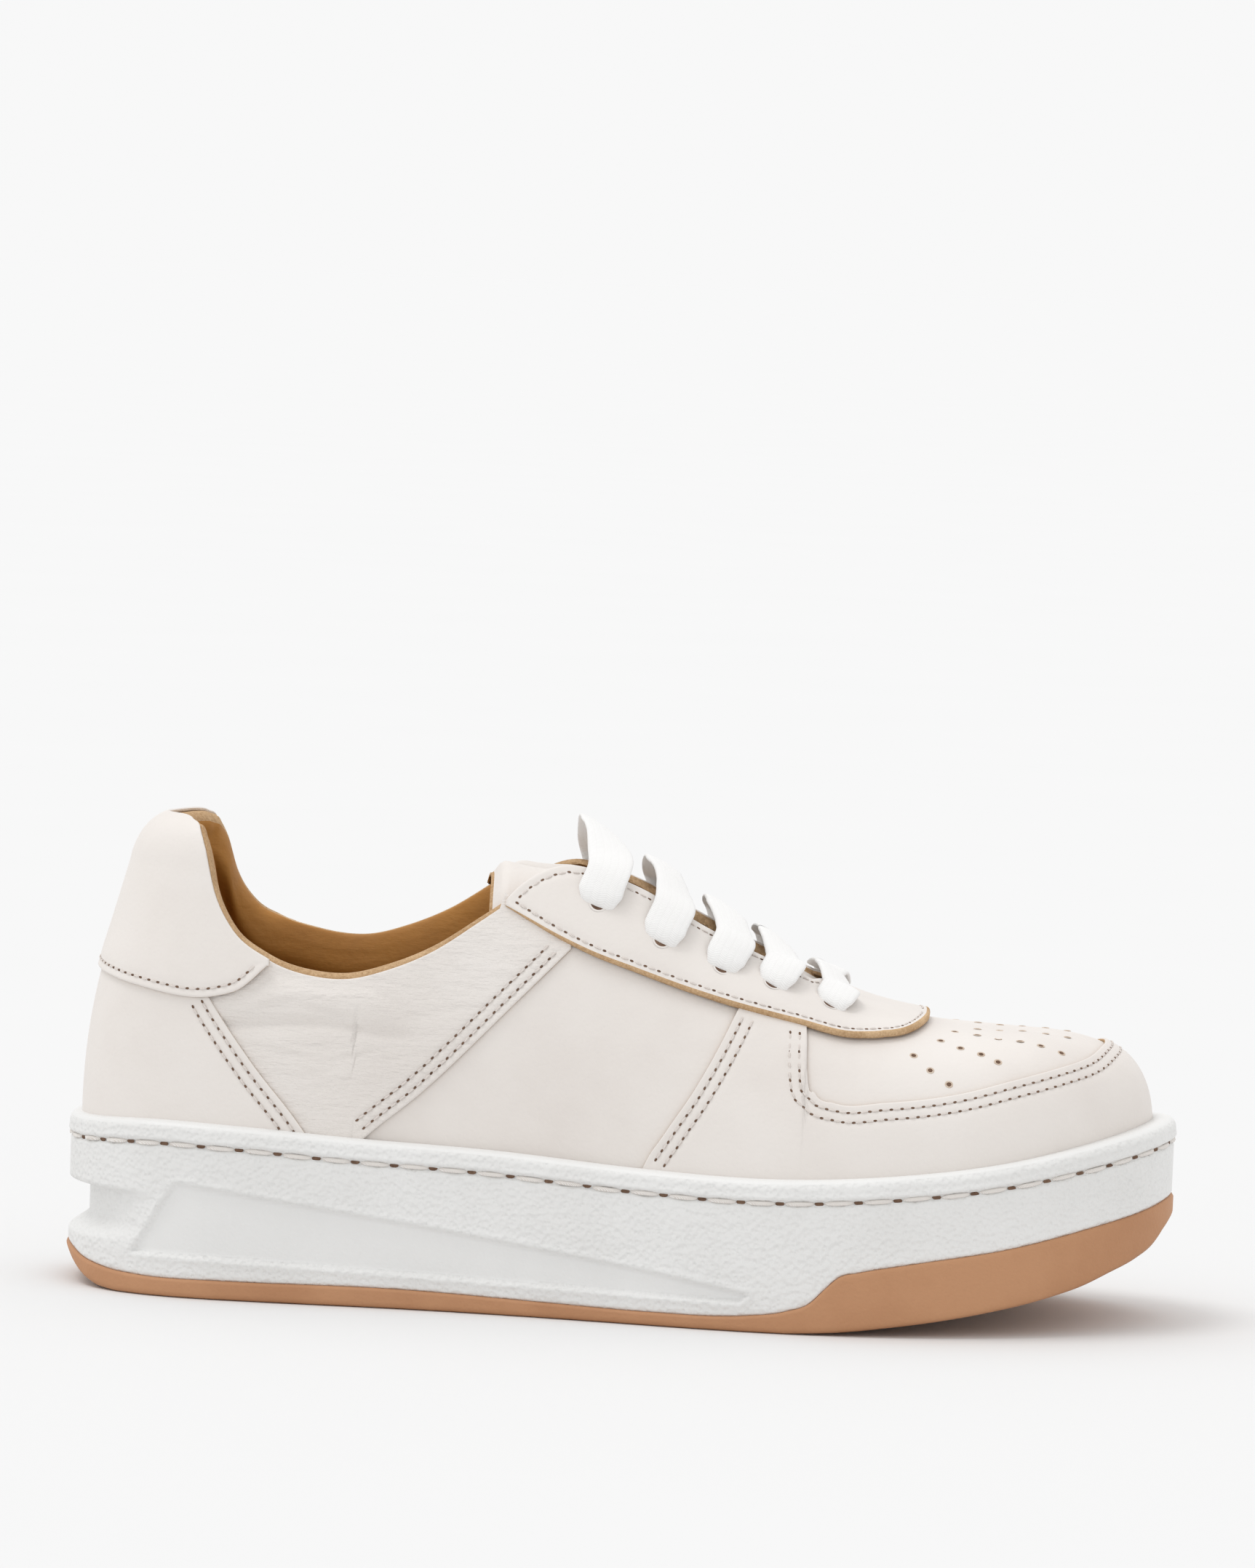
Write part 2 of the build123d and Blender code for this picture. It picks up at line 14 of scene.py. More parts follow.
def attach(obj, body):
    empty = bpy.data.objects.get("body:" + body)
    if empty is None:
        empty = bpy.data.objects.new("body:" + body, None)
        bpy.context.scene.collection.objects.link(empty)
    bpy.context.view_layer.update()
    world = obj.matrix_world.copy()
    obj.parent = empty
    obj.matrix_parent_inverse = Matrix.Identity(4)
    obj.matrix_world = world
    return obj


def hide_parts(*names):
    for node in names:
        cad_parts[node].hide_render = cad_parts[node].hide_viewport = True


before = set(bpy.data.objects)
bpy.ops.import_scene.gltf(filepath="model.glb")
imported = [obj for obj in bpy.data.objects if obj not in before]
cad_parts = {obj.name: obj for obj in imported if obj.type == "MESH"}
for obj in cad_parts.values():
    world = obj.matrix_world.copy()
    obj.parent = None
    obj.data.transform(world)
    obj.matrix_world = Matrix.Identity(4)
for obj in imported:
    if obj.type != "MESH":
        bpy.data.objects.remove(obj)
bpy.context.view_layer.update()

# ---------------- shape of the shoe
# (x, y) round the rim, seen from above
SOLE_OUTLINE = [
    (-140, 0), (-134.5, -20), (-118, -33.5), (-95, -38), (-50, -39.5), (0, -46), (42, -52),
    (80, -48.5), (110, -37), (130.5, -19), (140, 4), (134, 24), (118, 38.5), (90, 48.5),
    (55, 52), (10, 43.5), (-35, 36.5), (-70, 36.5), (-95, 38), (-118, 33.5), (-134.5, 20),
]
# (x, z) of the rim's top, of the upper's top line, of the tread and of the gum's upper edge
RIM = [
    (-141, 42.5), (-115, 44.2), (-95, 43.7), (-64, 42), (-30, 40.8), (8, 38.6), (40, 38), (73, 40),
    (100, 43.4), (120, 47.3), (141, 51.9),
]
RIDGE = [
    (-98, 135), (-60, 131), (-30, 125), (-10, 118.5), (2, 112), (18.6, 100.8), (31.5, 92.3),
    (45, 84.3), (57, 78.2), (66, 75.4), (75, 73.7), (95, 72.4),
]
# (z, how far the heel's wall stands out, as a share of its base)
HEEL_LEAN = [
    (20, 1.004), (50, 1), (66, 0.965), (80, 0.897), (92, 0.803), (105, 0.7), (110, 0.66), (113, 0.61),
    (115, 0.55), (116.6, 0.46), (118, 0.37), (119.5, 0.32), (136, 0.31),
]
TREAD = [
    (-142, 8.6), (-139, 7.4), (-136.8, 5), (-134.3, 2.8), (-130.5, 0.9), (-125, 0), (45, 0), (58, 0.8),
    (68, 2), (81.5, 3.9), (95, 6.3), (108, 9.2), (118, 12.2), (124, 14.8), (131, 17.9), (135, 20.5),
    (138, 24), (142, 29),
]
GUM_TOP = [
    (-141.5, 9.9), (-138, 8.9), (-134.8, 7.4), (-127.7, 5.7), (-118, 4.9), (-97, 4.8), (-56, 5), (-15, 3.9),
    (11, 3.4), (35, 4.1), (44.6, 5.6), (51, 8.2), (54.4, 11.7), (57.6, 14.6), (62.4, 15.9), (74.3, 18.1),
    (100, 22.3), (120, 26.9), (134, 30.2), (141.5, 32.6),
]
# (x, z) of the corners of the recess in the side of the cupsole
SIDE_RECESS = [
    (-109, 28.6), (-120, 10.8), (-95, 10.3), (-32, 8.5), (33, 7.4), (35, 9.2), (11, 13.2), (-43, 20.3),
]
# (x, z) of edges and seams of the upper, seen from the side
COLLAR = [
    (-135, 116.6), (-118, 116), (-112, 114.5), (-107.5, 110), (-104, 102), (-98, 93), (-88, 86),
    (-76, 82.5), (-68, 82.3), (-58, 85), (-47, 90), (-36, 97.5), (-29, 102.5),
]
COUNTER = [(-135, 82), (-106, 80), (-103, 75.5), (-91, 59.5), (-77, 42.6), (-70, 32)]
TAB = [(-135, 79), (-122, 76.5), (-100, 75.4), (-95, 77), (-88, 83)]
FRONT_SEAM = [(-66, 38), (-62, 42), (-49, 53.2), (-25, 77.8), (-12, 91.4)]
TOE_SEAM = [(6, 33), (8, 38.6), (13, 47.2), (20, 58.4), (26, 70), (30, 79)]
# (x, h) of the eyestay's two edges and of the eyelets
THROAT = [
    (-30, 0.665), (-26, 0.712), (-20, 0.76), (-15, 0.785), (-9, 0.795), (2, 0.8), (20, 0.797), (31, 0.806),
    (49, 0.83),
]
EYESTAY_LOW = [
    (-30, 0.66), (-24, 0.637), (-15, 0.606), (-8, 0.591), (3, 0.584), (24, 0.586), (43, 0.597), (60, 0.608),
    (69, 0.646), (75, 0.74), (78, 0.9),
]
EYELETS = [(-7, 0.70), (9, 0.672), (24, 0.672), (36.5, 0.69), (51, 0.705)]
# (c, h) of the toe overlay's upper edge, on the lateral side
OVERLAY_TOP = [
    (199.8, 0.603), (200.1, 0.511), (200.6, 0.444), (202.7, 0.393), (207.8, 0.370), (220.2, 0.383),
    (240.3, 0.424), (253, 0.467), (267.7, 0.506), (282.9, 0.535), (295.6, 0.565), (309.5, 0.578),
]
# (x, y) of the vamp's small holes, lateral half
PERFORATIONS = [
    (73.4, -29), (77.7, -32.2), (82.5, -34.2), (79.9, -20.3), (84.9, -22.9), (90.1, -24.5), (94.4, -26.3),
    (83.2, -11.3), (88.9, -12.6), (94.2, -14.5), (99.7, -15.2), (104.9, -15.9), (110.1, -16),
    (88.9, -4), (94.5, -3), (100.2, -3), (106, -2.6), (111.5, -2.4),
]
# (x, z, slope, length, depth) of the short folds in the collar panels
COLLAR_FOLDS = [
    (-88, 73, 0.35, 9, 0.28), (-72, 72.4, -0.2, 8, 0.3), (-58, 77, -0.5, 8, 0.24), (-50, 84, -0.9, 7, 0.26),
    (-42, 86, -1.1, 6, 0.24), (-66, 62, 0.25, 7, 0.2), (-84, 62.5, -0.2, 8, 0.2), (-37, 92, -0.6, 6, 0.22),
    (-45, 78, -0.8, 8, 0.2), (-76, 57, 0.3, 6, 0.16),
]
# (share of the way over the shoe from -1 at the lateral eyelet, sway of a bar along the shoe)
LACE_SWAY = [
    (-1, 0), (-0.86, 0.7), (-0.7, 1.7), (-0.5, 1.7), (-0.25, 0.3), (0, -1.6), (0.3, -3.2), (0.6, -3),
    (0.85, -1.2), (1, 0),
]
# (sway, width, height over the ridge, tilt) of the lace's bars, from the rear
LACE_BARS = [
    (1.0, 11.4, -1.2, 0.25), (0.95, 11.0, -1.0, 0.3), (0.9, 10.7, -0.2, 0.3), (0.85, 10.2, 0.9, 0.3),
    (0.8, 9.8, 1.6, 0.35),
]
HEEL_CENTRE, TOE_CENTRE = -98.0, 95.0
OUTLINE_POINTS = 1201
BATCH = 2000  # points measured at a time
WALL_FOOT = 13  # how far the wall's base edge lies under the rim
LAYER = 1.2
LINING_FACE = -3.4  # the lining's inner face, from the upper's surface
ROW_GAPS = (2.0, 4.6)  # from a seam to its two stitch rows
STITCH, THREAD_RADIUS, NEEDLE_HOLE = 2.0, 0.26, (0.52, 0.3)
DIP_DEPTH, DIP_WIDTH = 0.28, 0.8  # of the leather along a stitch row
LATERAL, MEDIAL = -1, 1
SIDES = ((LATERAL, "lateral"), (MEDIAL, "medial"))


def ease(x, low, high):
    """A soft step from 0 at low to 1 at high."""
    t = np.clip((np.asarray(x, float) - low) / (high - low), 0, 1)
    return t * t * (3 - 2 * t)


def hermite(u, length, start, end, start_slope, end_slope):
    """A cubic from start to end with the slopes given, at u of its length."""
    first = (2 * u**3 - 3 * u**2 + 1) * start + (u**3 - 2 * u**2 + u) * length * start_slope
    return first + (3 * u**2 - 2 * u**3) * end + (u**3 - u**2) * length * end_slope


def smooth(x, points):
    """A smooth curve through points, read at x."""
    px, pv = np.array(points, float).T
    step = np.diff(px)
    slope = np.diff(pv) / step
    inner = (slope[1:] * step[:-1] + slope[:-1] * step[1:]) / (step[1:] + step[:-1])
    m = np.concatenate([slope[:1], inner, slope[-1:]])
    x = np.clip(x, px[0], px[-1])
    i = np.clip(np.searchsorted(px, x, side="right") - 1, 0, len(px) - 2)
    h = px[i + 1] - px[i]
    return hermite((x - px[i]) / h, h, pv[i], pv[i + 1], m[i], m[i + 1])


def soft_minimum(a, b, width):
    return -width * np.log(np.exp(-a / width) + np.exp(-b / width))


def closed_curve(points, count):
    """A smooth closed cubic curve through points."""
    p = np.array(points, float)
    n = len(p)
    h = np.linalg.norm(np.roll(p, -1, axis=0) - p, axis=1)
    before = np.roll(h, 1)
    system = np.zeros((n, n))
    for i in range(n):
        system[i, i - 1] = h[i]
        system[i, i] = 2 * (h[i] + before[i])
        system[i, (i + 1) % n] = before[i]
    slope = (np.roll(p, -1, axis=0) - p) / h[:, None]
    right = 3 * (h[:, None] * np.roll(slope, 1, axis=0) + before[:, None] * slope)
    tangent = np.linalg.solve(system, right)
    knots = np.concatenate([[0], np.cumsum(h)])
    t = np.linspace(0, knots[-1], count)
    i = np.clip(np.searchsorted(knots, t, side="right") - 1, 0, n - 1)
    u = ((t - knots[i]) / h[i])[:, None]
    j = (i + 1) % n
    return hermite(u, h[i][:, None], p[i], p[j], tangent[i], tangent[j])


def distance_run(points):
    """How far along a line of points each of them lies."""
    return np.concatenate([[0], np.cumsum(np.linalg.norm(np.diff(points, axis=0), axis=1))])


OUTLINE = closed_curve(SOLE_OUTLINE, OUTLINE_POINTS)
AHEAD = np.gradient(OUTLINE, axis=0)
AHEAD[0] = AHEAD[-1] = OUTLINE[1] - OUTLINE[-2]
AHEAD /= np.linalg.norm(AHEAD, axis=1, keepdims=True)
INWARD = np.stack([-AHEAD[:, 1], AHEAD[:, 0]], axis=1)
BASE = OUTLINE + INWARD * (5.7 + 1.2 * ease(OUTLINE[:, 0], 60, 140))[:, None]
ALONG = distance_run(BASE)
AROUND = ALONG[-1]
TOE = ALONG[np.argmax(BASE[:, 0])]


def along(side, x):
    """c at an x on one side."""
    near = ALONG <= TOE
    if side == LATERAL:
        return np.interp(x, BASE[near, 0], ALONG[near])
    return np.interp(x, BASE[~near, 0][::-1], ALONG[~near][::-1])


def over(share, x):
    """c at an x, on the lateral side where share is negative."""
    return np.where(share < 0, along(LATERAL, x), along(MEDIAL, x))


def base_x(c):
    return np.interp(np.mod(c, AROUND), ALONG, BASE[:, 0])


def is_medial(c):
    return (np.asarray(c) < 0) | (np.asarray(c) > TOE)


def mirror(c):
    return 2 * TOE - c


def on_lateral(c):
    """c itself, or the lateral place opposite a medial one."""
    return np.where(np.asarray(c) > TOE, mirror(np.asarray(c, float)), c)


def centre_line(x):
    return 4 * ease(x, -20, 90)


def wall_foot(x):
    return smooth(x, RIM) - WALL_FOOT + 1.5 * ease(x, 90, 135)


def wall(c, zeta):
    """Points of the upper's wall at c, zeta of the height up from its base edge."""
    c = np.mod(c, AROUND)
    bx = np.interp(c, ALONG, BASE[:, 0])
    by = np.interp(c, ALONG, BASE[:, 1])
    sx = -soft_minimum(-soft_minimum(bx, TOE_CENTRE, 7), -HEEL_CENTRE, 4)
    sy = centre_line(sx)
    low = wall_foot(bx)
    z = low + zeta * (smooth(sx, RIDGE) - low)
    power = 2.44 + ease(bx, 20, 120)
    arch = (1 - np.clip(zeta, 0, 1) ** power) ** (1 / (2.2 + 1.2 * ease(bx, 20, 120)))
    heel = 1 - ease(bx, -95, -45)
    f = (1 - heel) * arch + heel * smooth(z, HEEL_LEAN)
    return np.stack([sx + (bx - sx) * f, sy + (by - sy) * f, z], axis=-1)


# share of the height for each share of the length up the wall, tabled once
C_TABLE = np.linspace(0, AROUND, 616)
Z_TABLE = 1 - (1 - np.linspace(0, 1, 241)) ** 1.6
H_TABLE = 1 - (1 - np.linspace(0, 1, 481)) ** 1.5
walls = wall(C_TABLE[:, None], Z_TABLE[None, :])
runs = np.cumsum(np.linalg.norm(np.diff(walls, axis=1), axis=2), axis=1)
runs = np.concatenate([np.zeros((len(C_TABLE), 1)), runs], axis=1)
LENGTH = runs[:, -1]
RISE = walls[:, -1, 2] - walls[:, 0, 2]
SHARE = np.array([np.interp(H_TABLE * run[-1], run, Z_TABLE) for run in runs])


def wall_length(c):
    """How long the way up the wall is at c."""
    return np.interp(np.mod(c, AROUND), C_TABLE, LENGTH)


def height_share(c, h):
    """The share of the height at h, the share of the length up the wall."""
    cc = np.mod(c, AROUND) / AROUND * (len(C_TABLE) - 1)
    i = np.clip(np.floor(cc).astype(int), 0, len(C_TABLE) - 2)
    a = cc - i
    q = (1 - (1 - np.clip(h, 0, 1)) ** (1 / 1.5)) * (len(H_TABLE) - 1)
    j = np.clip(np.floor(q).astype(int), 0, len(H_TABLE) - 2)
    span = H_TABLE[j + 1] - H_TABLE[j]
    b = (np.clip(h, 0, 1) - H_TABLE[j]) / span
    top = (1 - a) * SHARE[i, j + 1] + a * SHARE[i + 1, j + 1]
    low = (1 - a) * SHARE[i, j] + a * SHARE[i + 1, j]
    below = np.minimum(h, 0) * np.interp(np.mod(c, AROUND), C_TABLE, LENGTH / RISE)
    return low * (1 - b) + top * b + below


def place(c, h, out):
    """Points at c along and h up the wall, moved out of the surface by out."""
    c, h, out = np.broadcast_arrays(np.asarray(c, float), np.asarray(h, float), np.asarray(out, float))
    zeta = height_share(c, h)
    top = np.minimum(zeta + 0.003, 0.9999)
    ahead = wall(c + 0.5, zeta) - wall(c - 0.5, zeta)
    up = wall(c, top) - wall(c, top - 0.006)
    normal = np.cross(ahead, up)
    size = np.linalg.norm(normal, axis=-1, keepdims=True)
    normal = normal / np.maximum(size, 1e-9)
    crown = (ease(zeta, 0.93, 0.99) * ease(base_x(c), 84, 93))[..., None]
    normal = normal * (1 - crown) + np.array([0.03, 0, 1.0]) * crown
    normal = normal / np.linalg.norm(normal, axis=-1, keepdims=True)
    return wall(c, zeta) + normal * (out + ripple(c, h))[..., None]


def ripple(c, h):
    """The slow unevenness that every layer of the upper follows."""
    s, t = c / 100, h * wall_length(c) / 100
    slow = np.sin(7.1 * s + 3.3 * t) * np.sin(5.3 * t - 2.9 * s + 1.0) + 0.5 * np.sin(13 * s - 9 * t + 2)
    return 0.22 * slow * ease(h, 0.02, 0.25) * (1 - ease(h, 0.9, 1))


def height_edge(points, lift=None):
    """How far up the wall a height given by x lies, at each c."""
    grid = np.linspace(0, 1, 200)

    def find(c):
        c = np.atleast_1d(np.asarray(c, float))
        heights = wall(c[:, None], height_share(c[:, None], grid[None, :]))[..., 2]
        want = smooth(base_x(c), points) + (lift(c) if lift else 0)
        return np.array([np.interp(w, row, grid) for w, row in zip(want, heights)])

    return find


collar = height_edge(COLLAR, lambda c: np.where(is_medial(c), 5 * ease(base_x(c), -110, -80), 0))
counter_top = height_edge(COUNTER)
tab_low = height_edge(TAB)
front_seam = height_edge(FRONT_SEAM)
toe_seam = height_edge(TOE_SEAM)


def throat(c):
    return smooth(base_x(c), THROAT)


def eyestay_low(c):
    return smooth(base_x(c), EYESTAY_LOW)


def overlay_top(c):
    return smooth(on_lateral(c), OVERLAY_TOP)


# ---------------- materials
def new_material(name, roughness=0.5, specular=0.5):
    mat = bpy.data.materials.new(name)
    mat.use_nodes = True
    shader = mat.node_tree.nodes["Principled BSDF"]
    shader.inputs["Roughness"].default_value = roughness
    shader.inputs["Specular IOR Level"].default_value = specular
    return mat, mat.node_tree, shader


def coords(tree, node, stretch=None):
    """Gives a texture the object's own coordinates."""
    source = tree.nodes.new("ShaderNodeTexCoord").outputs["Object"]
    if stretch:
        mapping = tree.nodes.new("ShaderNodeMapping")
        mapping.inputs["Scale"].default_value = stretch
        tree.links.new(source, mapping.inputs["Vector"])
        source = mapping.outputs["Vector"]
    tree.links.new(source, node.inputs["Vector"])


def noise(tree, scale, detail=4.0, rough=0.55, stretch=None):
    node = tree.nodes.new("ShaderNodeTexNoise")
    node.inputs["Scale"].default_value = scale
    node.inputs["Detail"].default_value = detail
    node.inputs["Roughness"].default_value = rough
    coords(tree, node, stretch)
    return node.outputs["Fac"]


def pebbles(tree, scale):
    node = tree.nodes.new("ShaderNodeTexVoronoi")
    node.feature = "SMOOTH_F1"
    node.inputs["Scale"].default_value = scale
    coords(tree, node)
    return node.outputs["Distance"]


def colour_by(tree, shader, factor, stops):
    node = tree.nodes.new("ShaderNodeValToRGB")
    while len(node.color_ramp.elements) < len(stops):
        node.color_ramp.elements.new(0.5)
    for element, (at, colour) in zip(node.color_ramp.elements, stops):
        element.position = at
        element.color = (*colour, 1)
    tree.links.new(factor, node.inputs["Fac"])
    tree.links.new(node.outputs["Color"], shader.inputs["Base Color"])


def maths(tree, kind, a, b=0):
    node = tree.nodes.new("ShaderNodeMath")
    node.operation = kind
    for socket, value in zip(node.inputs, (a, b)):
        if isinstance(value, (int, float)):
            socket.default_value = value
        else:
            tree.links.new(value, socket)
    return node.outputs[0]


def weighted(tree, *terms):
    """The sum of sockets, each times its weight."""
    parts = [maths(tree, "MULTIPLY", socket, weight) for socket, weight in terms]
    total = parts[0]
    for part in parts[1:]:
        total = maths(tree, "ADD", total, part)
    return total


def ridges(tree, socket, rate):
    """Even ridges along a coordinate."""
    return maths(tree, "ABSOLUTE", maths(tree, "SINE", maths(tree, "MULTIPLY", socket, rate)))


def bump(tree, shader, height, strength, distance):
    node = tree.nodes.new("ShaderNodeBump")
    node.inputs["Strength"].default_value = strength
    node.inputs["Distance"].default_value = distance
    tree.links.new(height, node.inputs["Height"])
    tree.links.new(node.outputs["Normal"], shader.inputs["Normal"])


def grained(name, stops, roughness=(0.42, 0.55), cell=900.0, depth=0.00012, crease=0.0):
    """Leather: fine pebble cells under slow folds, with uneven colour and sheen."""
    mat, tree, shader = new_material(name, specular=0.4)
    colour_by(tree, shader, noise(tree, 22, 5), stops)
    slow = noise(tree, 95, 3, 0.5)
    terms = [(pebbles(tree, cell), 0.7), (noise(tree, cell * 1.7, 3), 0.5), (slow, 2.2)]
    if crease:
        terms.append((noise(tree, 60, 6, 0.65, (1.0, 1.6, 4.2)), crease))
    bump(tree, shader, weighted(tree, *terms), 0.55, depth)
    spread = tree.nodes.new("ShaderNodeMapRange")
    spread.inputs["To Min"].default_value, spread.inputs["To Max"].default_value = roughness
    tree.links.new(noise(tree, 140, 3), spread.inputs["Value"])
    tree.links.new(spread.outputs["Result"], shader.inputs["Roughness"])
    return mat


def fuzzy(name, dark, light, scale=1500.0, depth=0.0004):
    """Raw edge or suede: short fibres with dark gaps."""
    mat, tree, shader = new_material(name, 0.9, 0.15)
    fibres = noise(tree, scale, 6, 0.7)
    mixed = weighted(tree, (fibres, 0.6), (noise(tree, 70, 3), 0.4))
    colour_by(tree, shader, mixed, [(0.3, dark), (0.68, light)])
    bump(tree, shader, fibres, 0.8, depth)
    return mat


def moulded(name, stops, roughness, cell, depth):
    """Moulded rubber: a fine stipple and uneven colour."""
    mat, tree, shader = new_material(name, roughness, 0.35)
    colour_by(tree, shader, noise(tree, 30, 6), stops)
    stipple = weighted(tree, (pebbles(tree, cell), 1), (noise(tree, cell * 0.6, 4), 0.6))
    bump(tree, shader, stipple, 0.5, depth)
    return mat


def threaded(name, colour, dark, scale=2200.0):
    """Twisted thread: slanting bands."""
    mat, tree, shader = new_material(name, 0.75)
    wave = tree.nodes.new("ShaderNodeTexWave")
    wave.bands_direction = "DIAGONAL"
    wave.inputs["Scale"].default_value = scale
    wave.inputs["Distortion"].default_value = 1.5
    coords(tree, wave)
    colour_by(tree, shader, wave.outputs["Fac"], [(0.0, dark), (0.6, colour)])
    bump(tree, shader, wave.outputs["Fac"], 0.6, 0.0001)
    return mat


def woven(name, colour, dark):
    """Flat woven lace: a herringbone of yarns, by the lace's own length and width."""
    mat, tree, shader = new_material(name, 0.85)
    uv = tree.nodes.new("ShaderNodeUVMap")
    uv.uv_map = "weave"
    parts = tree.nodes.new("ShaderNodeSeparateXYZ")
    tree.links.new(uv.outputs["UV"], parts.inputs[0])
    length, width = parts.outputs["X"], parts.outputs["Y"]
    slant = weighted(tree, (length, 7.4), (ridges(tree, width, 9.42), 3.6))
    lanes = maths(tree, "ADD", maths(tree, "MULTIPLY", ridges(tree, width, 18.84), 0.6), 0.4)
    weave = maths(tree, "MULTIPLY", ridges(tree, slant, 1), lanes)
    total = weighted(tree, (weave, 1), (noise(tree, 2400, 4), 0.25))
    colour_by(tree, shader, total, [(0.1, dark), (0.75, colour)])
    bump(tree, shader, total, 0.4, 0.00015)
    shader.inputs["Sheen Weight"].default_value = 0.25
    return mat


IVORY = [(0.3, (0.745, 0.695, 0.655)), (0.5, (0.79, 0.745, 0.705)), (0.75, (0.815, 0.775, 0.74))]
TAN = [(0.25, (0.33, 0.135, 0.022)), (0.5, (0.43, 0.19, 0.034)), (0.75, (0.52, 0.24, 0.05))]
STIPPLED_WHITE = [(0.3, (0.755, 0.75, 0.735)), (0.6, (0.80, 0.797, 0.785))]
SMOOTH_WHITE = [(0.3, (0.775, 0.772, 0.76)), (0.6, (0.81, 0.807, 0.795))]
GUM = [(0.3, (0.44, 0.215, 0.105)), (0.6, (0.52, 0.27, 0.14))]
ivory = grained("ivory_leather", IVORY)
ivory_soft = grained("ivory_leather_soft", IVORY, crease=9.0, depth=0.0003)
raw_edge = fuzzy("raw_leather_edge", (0.36, 0.20, 0.09), (0.78, 0.56, 0.34))
white_edge = fuzzy("pared_leather_edge", (0.52, 0.38, 0.27), (0.80, 0.70, 0.60))
tan = grained("tan_lining", TAN, roughness=(0.5, 0.7), cell=700, depth=0.00018, crease=3.0)
suede = fuzzy("tan_suede", (0.13, 0.06, 0.02), (0.38, 0.20, 0.075), 1200, 0.0006)
rubber = moulded("white_rubber", STIPPLED_WHITE, 0.45, 850, 0.0009)
smooth_rubber = moulded("smooth_white_rubber", SMOOTH_WHITE, 0.38, 1300, 0.0001)
gum = moulded("gum_rubber", GUM, 0.6, 1300, 0.00018)
thread = threaded("upper_thread", (0.84, 0.78, 0.74), (0.70, 0.63, 0.57))
sole_thread = threaded("sole_thread", (0.86, 0.83, 0.80), (0.70, 0.64, 0.58), 1200)
# near-black brown for painted shade: flat discs stand in for the shade inside needle holes, perforations
# and eyelets
hole_shade = fuzzy("needle_hole_shade", (0.09, 0.05, 0.035), (0.24, 0.15, 0.10), 900)
lace_mat = woven("lace_weave", (0.90, 0.895, 0.885), (0.81, 0.80, 0.79))
liner_mat = fuzzy("sock_liner_cloth", (0.22, 0.11, 0.035), (0.50, 0.27, 0.08), 900, 0.0003)
board_mat = fuzzy("fibre_board", (0.34, 0.25, 0.16), (0.60, 0.48, 0.34), 500, 0.0003)
foam_mat = fuzzy("open_foam", (0.60, 0.56, 0.48), (0.86, 0.83, 0.76), 700, 0.0006)


# ---------------- mesh helpers
scene = bpy.context.scene


def add_object(name, data):
    obj = bpy.data.objects.new(name, data)
    scene.collection.objects.link(obj)
    return obj


def mesh_object(name, points, faces, mats, face_mats=None):
    mesh = bpy.data.meshes.new(name)
    points = np.asarray(points).reshape(-1, 3) / 1000
    mesh.from_pydata(points.tolist(), [], [tuple(int(i) for i in f) for f in faces])
    for mat in mats:
        mesh.materials.append(mat)
    if face_mats is not None:
        mesh.polygons.foreach_set("material_index", np.asarray(face_mats, dtype=np.int32).ravel())
    mesh.polygons.foreach_set("use_smooth", np.ones(len(mesh.polygons), dtype=bool))
    mesh.validate()
    mesh.update()
    return add_object(name, mesh)


def finish_piece(obj, slot, *nodes, body="shoe"):
    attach(obj, body)
    if nodes:
        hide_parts(*nodes)


def shoe_piece(name, slot, points, faces, mats, face_mats=None):
    obj = mesh_object(name, points, faces, mats, face_mats)
    finish_piece(obj, slot, name)
    return obj


def unit(v):
    return v / np.linalg.norm(v, axis=-1, keepdims=True)


def circle(count):
    return np.linspace(0, 2 * math.pi, count + 1)[:-1]


def quads(rows, columns, start=0, flip=False):
    """The faces of a grid of points."""
    i, j = np.meshgrid(np.arange(rows - 1), np.arange(columns - 1), indexing="ij")
    a = start + i * columns + j
    q = np.stack([a, a + 1, a + columns + 1, a + columns], axis=-1).reshape(-1, 4)
    return q[:, ::-1] if flip else q


def tube(start, rings, corners, order=(0, 1, 2, 3)):
    """The faces between closed rings of points, the corners of each face in the given order."""
    i = np.arange(corners)
    first = start + corners * np.arange(rings - 1)[:, None]
    a, b = first + i, first + (i + 1) % corners
    return np.stack([a, b, b + corners, a + corners], axis=-1).reshape(-1, 4)[:, list(order)]


def fan(start, corners):
    """The faces from a ring of points to the point that follows it."""
    return [(start + i, start + (i + 1) % corners, start + corners) for i in range(corners)]


def punch(points, faces, spot, normal, axis, rings, corners, bottom):
    """Adds a hole's pale rim through rings of (radius, lift), and its dark middle, a disc of painted shade
    for the hole's depth.
    """
    u = unit(np.cross(normal, axis))
    v = np.cross(normal, u)
    start = len(points)
    for radius, lift in rings:
        for angle in circle(corners):
            points.append(spot + normal * lift + (u * math.cos(angle) + v * math.sin(angle)) * radius)
    points.append(spot + normal * bottom)
    faces.extend((*face, 1) for face in tube(start, len(rings), corners))
    faces.extend((*face, 0) for face in fan(start + (len(rings) - 1) * corners, corners))


def punched_object(name, points, faces, rim_mat):
    obj = mesh_object(name, points, [f[:-1] for f in faces], [hole_shade, rim_mat], [f[-1] for f in faces])
    finish_piece(obj, "leather_upper")


def closed_sheet(name, outer, inner, mats, side_index=1, inner_index=None):
    """A closed thin piece from its outer and inner grids of points."""
    rows, columns = outer.shape[:2]
    n = rows * columns
    points = np.concatenate([outer, inner])
    front = quads(rows, columns)
    back = quads(rows, columns, n, True)
    ring = np.concatenate([
        np.arange(columns), np.arange(1, rows) * columns + columns - 1,
        (rows - 1) * columns + np.arange(columns - 2, -1, -1), np.arange(rows - 2, 0, -1) * columns,
    ])
    after = np.roll(ring, -1)
    sides = np.stack([after, ring, ring + n, after + n], axis=-1)
    inner_index = side_index if inner_index is None else inner_index
    index = np.repeat([0, inner_index, side_index], [len(front), len(back), len(sides)])
    return mesh_object(name, points, np.concatenate([front, back, sides]), mats, index)


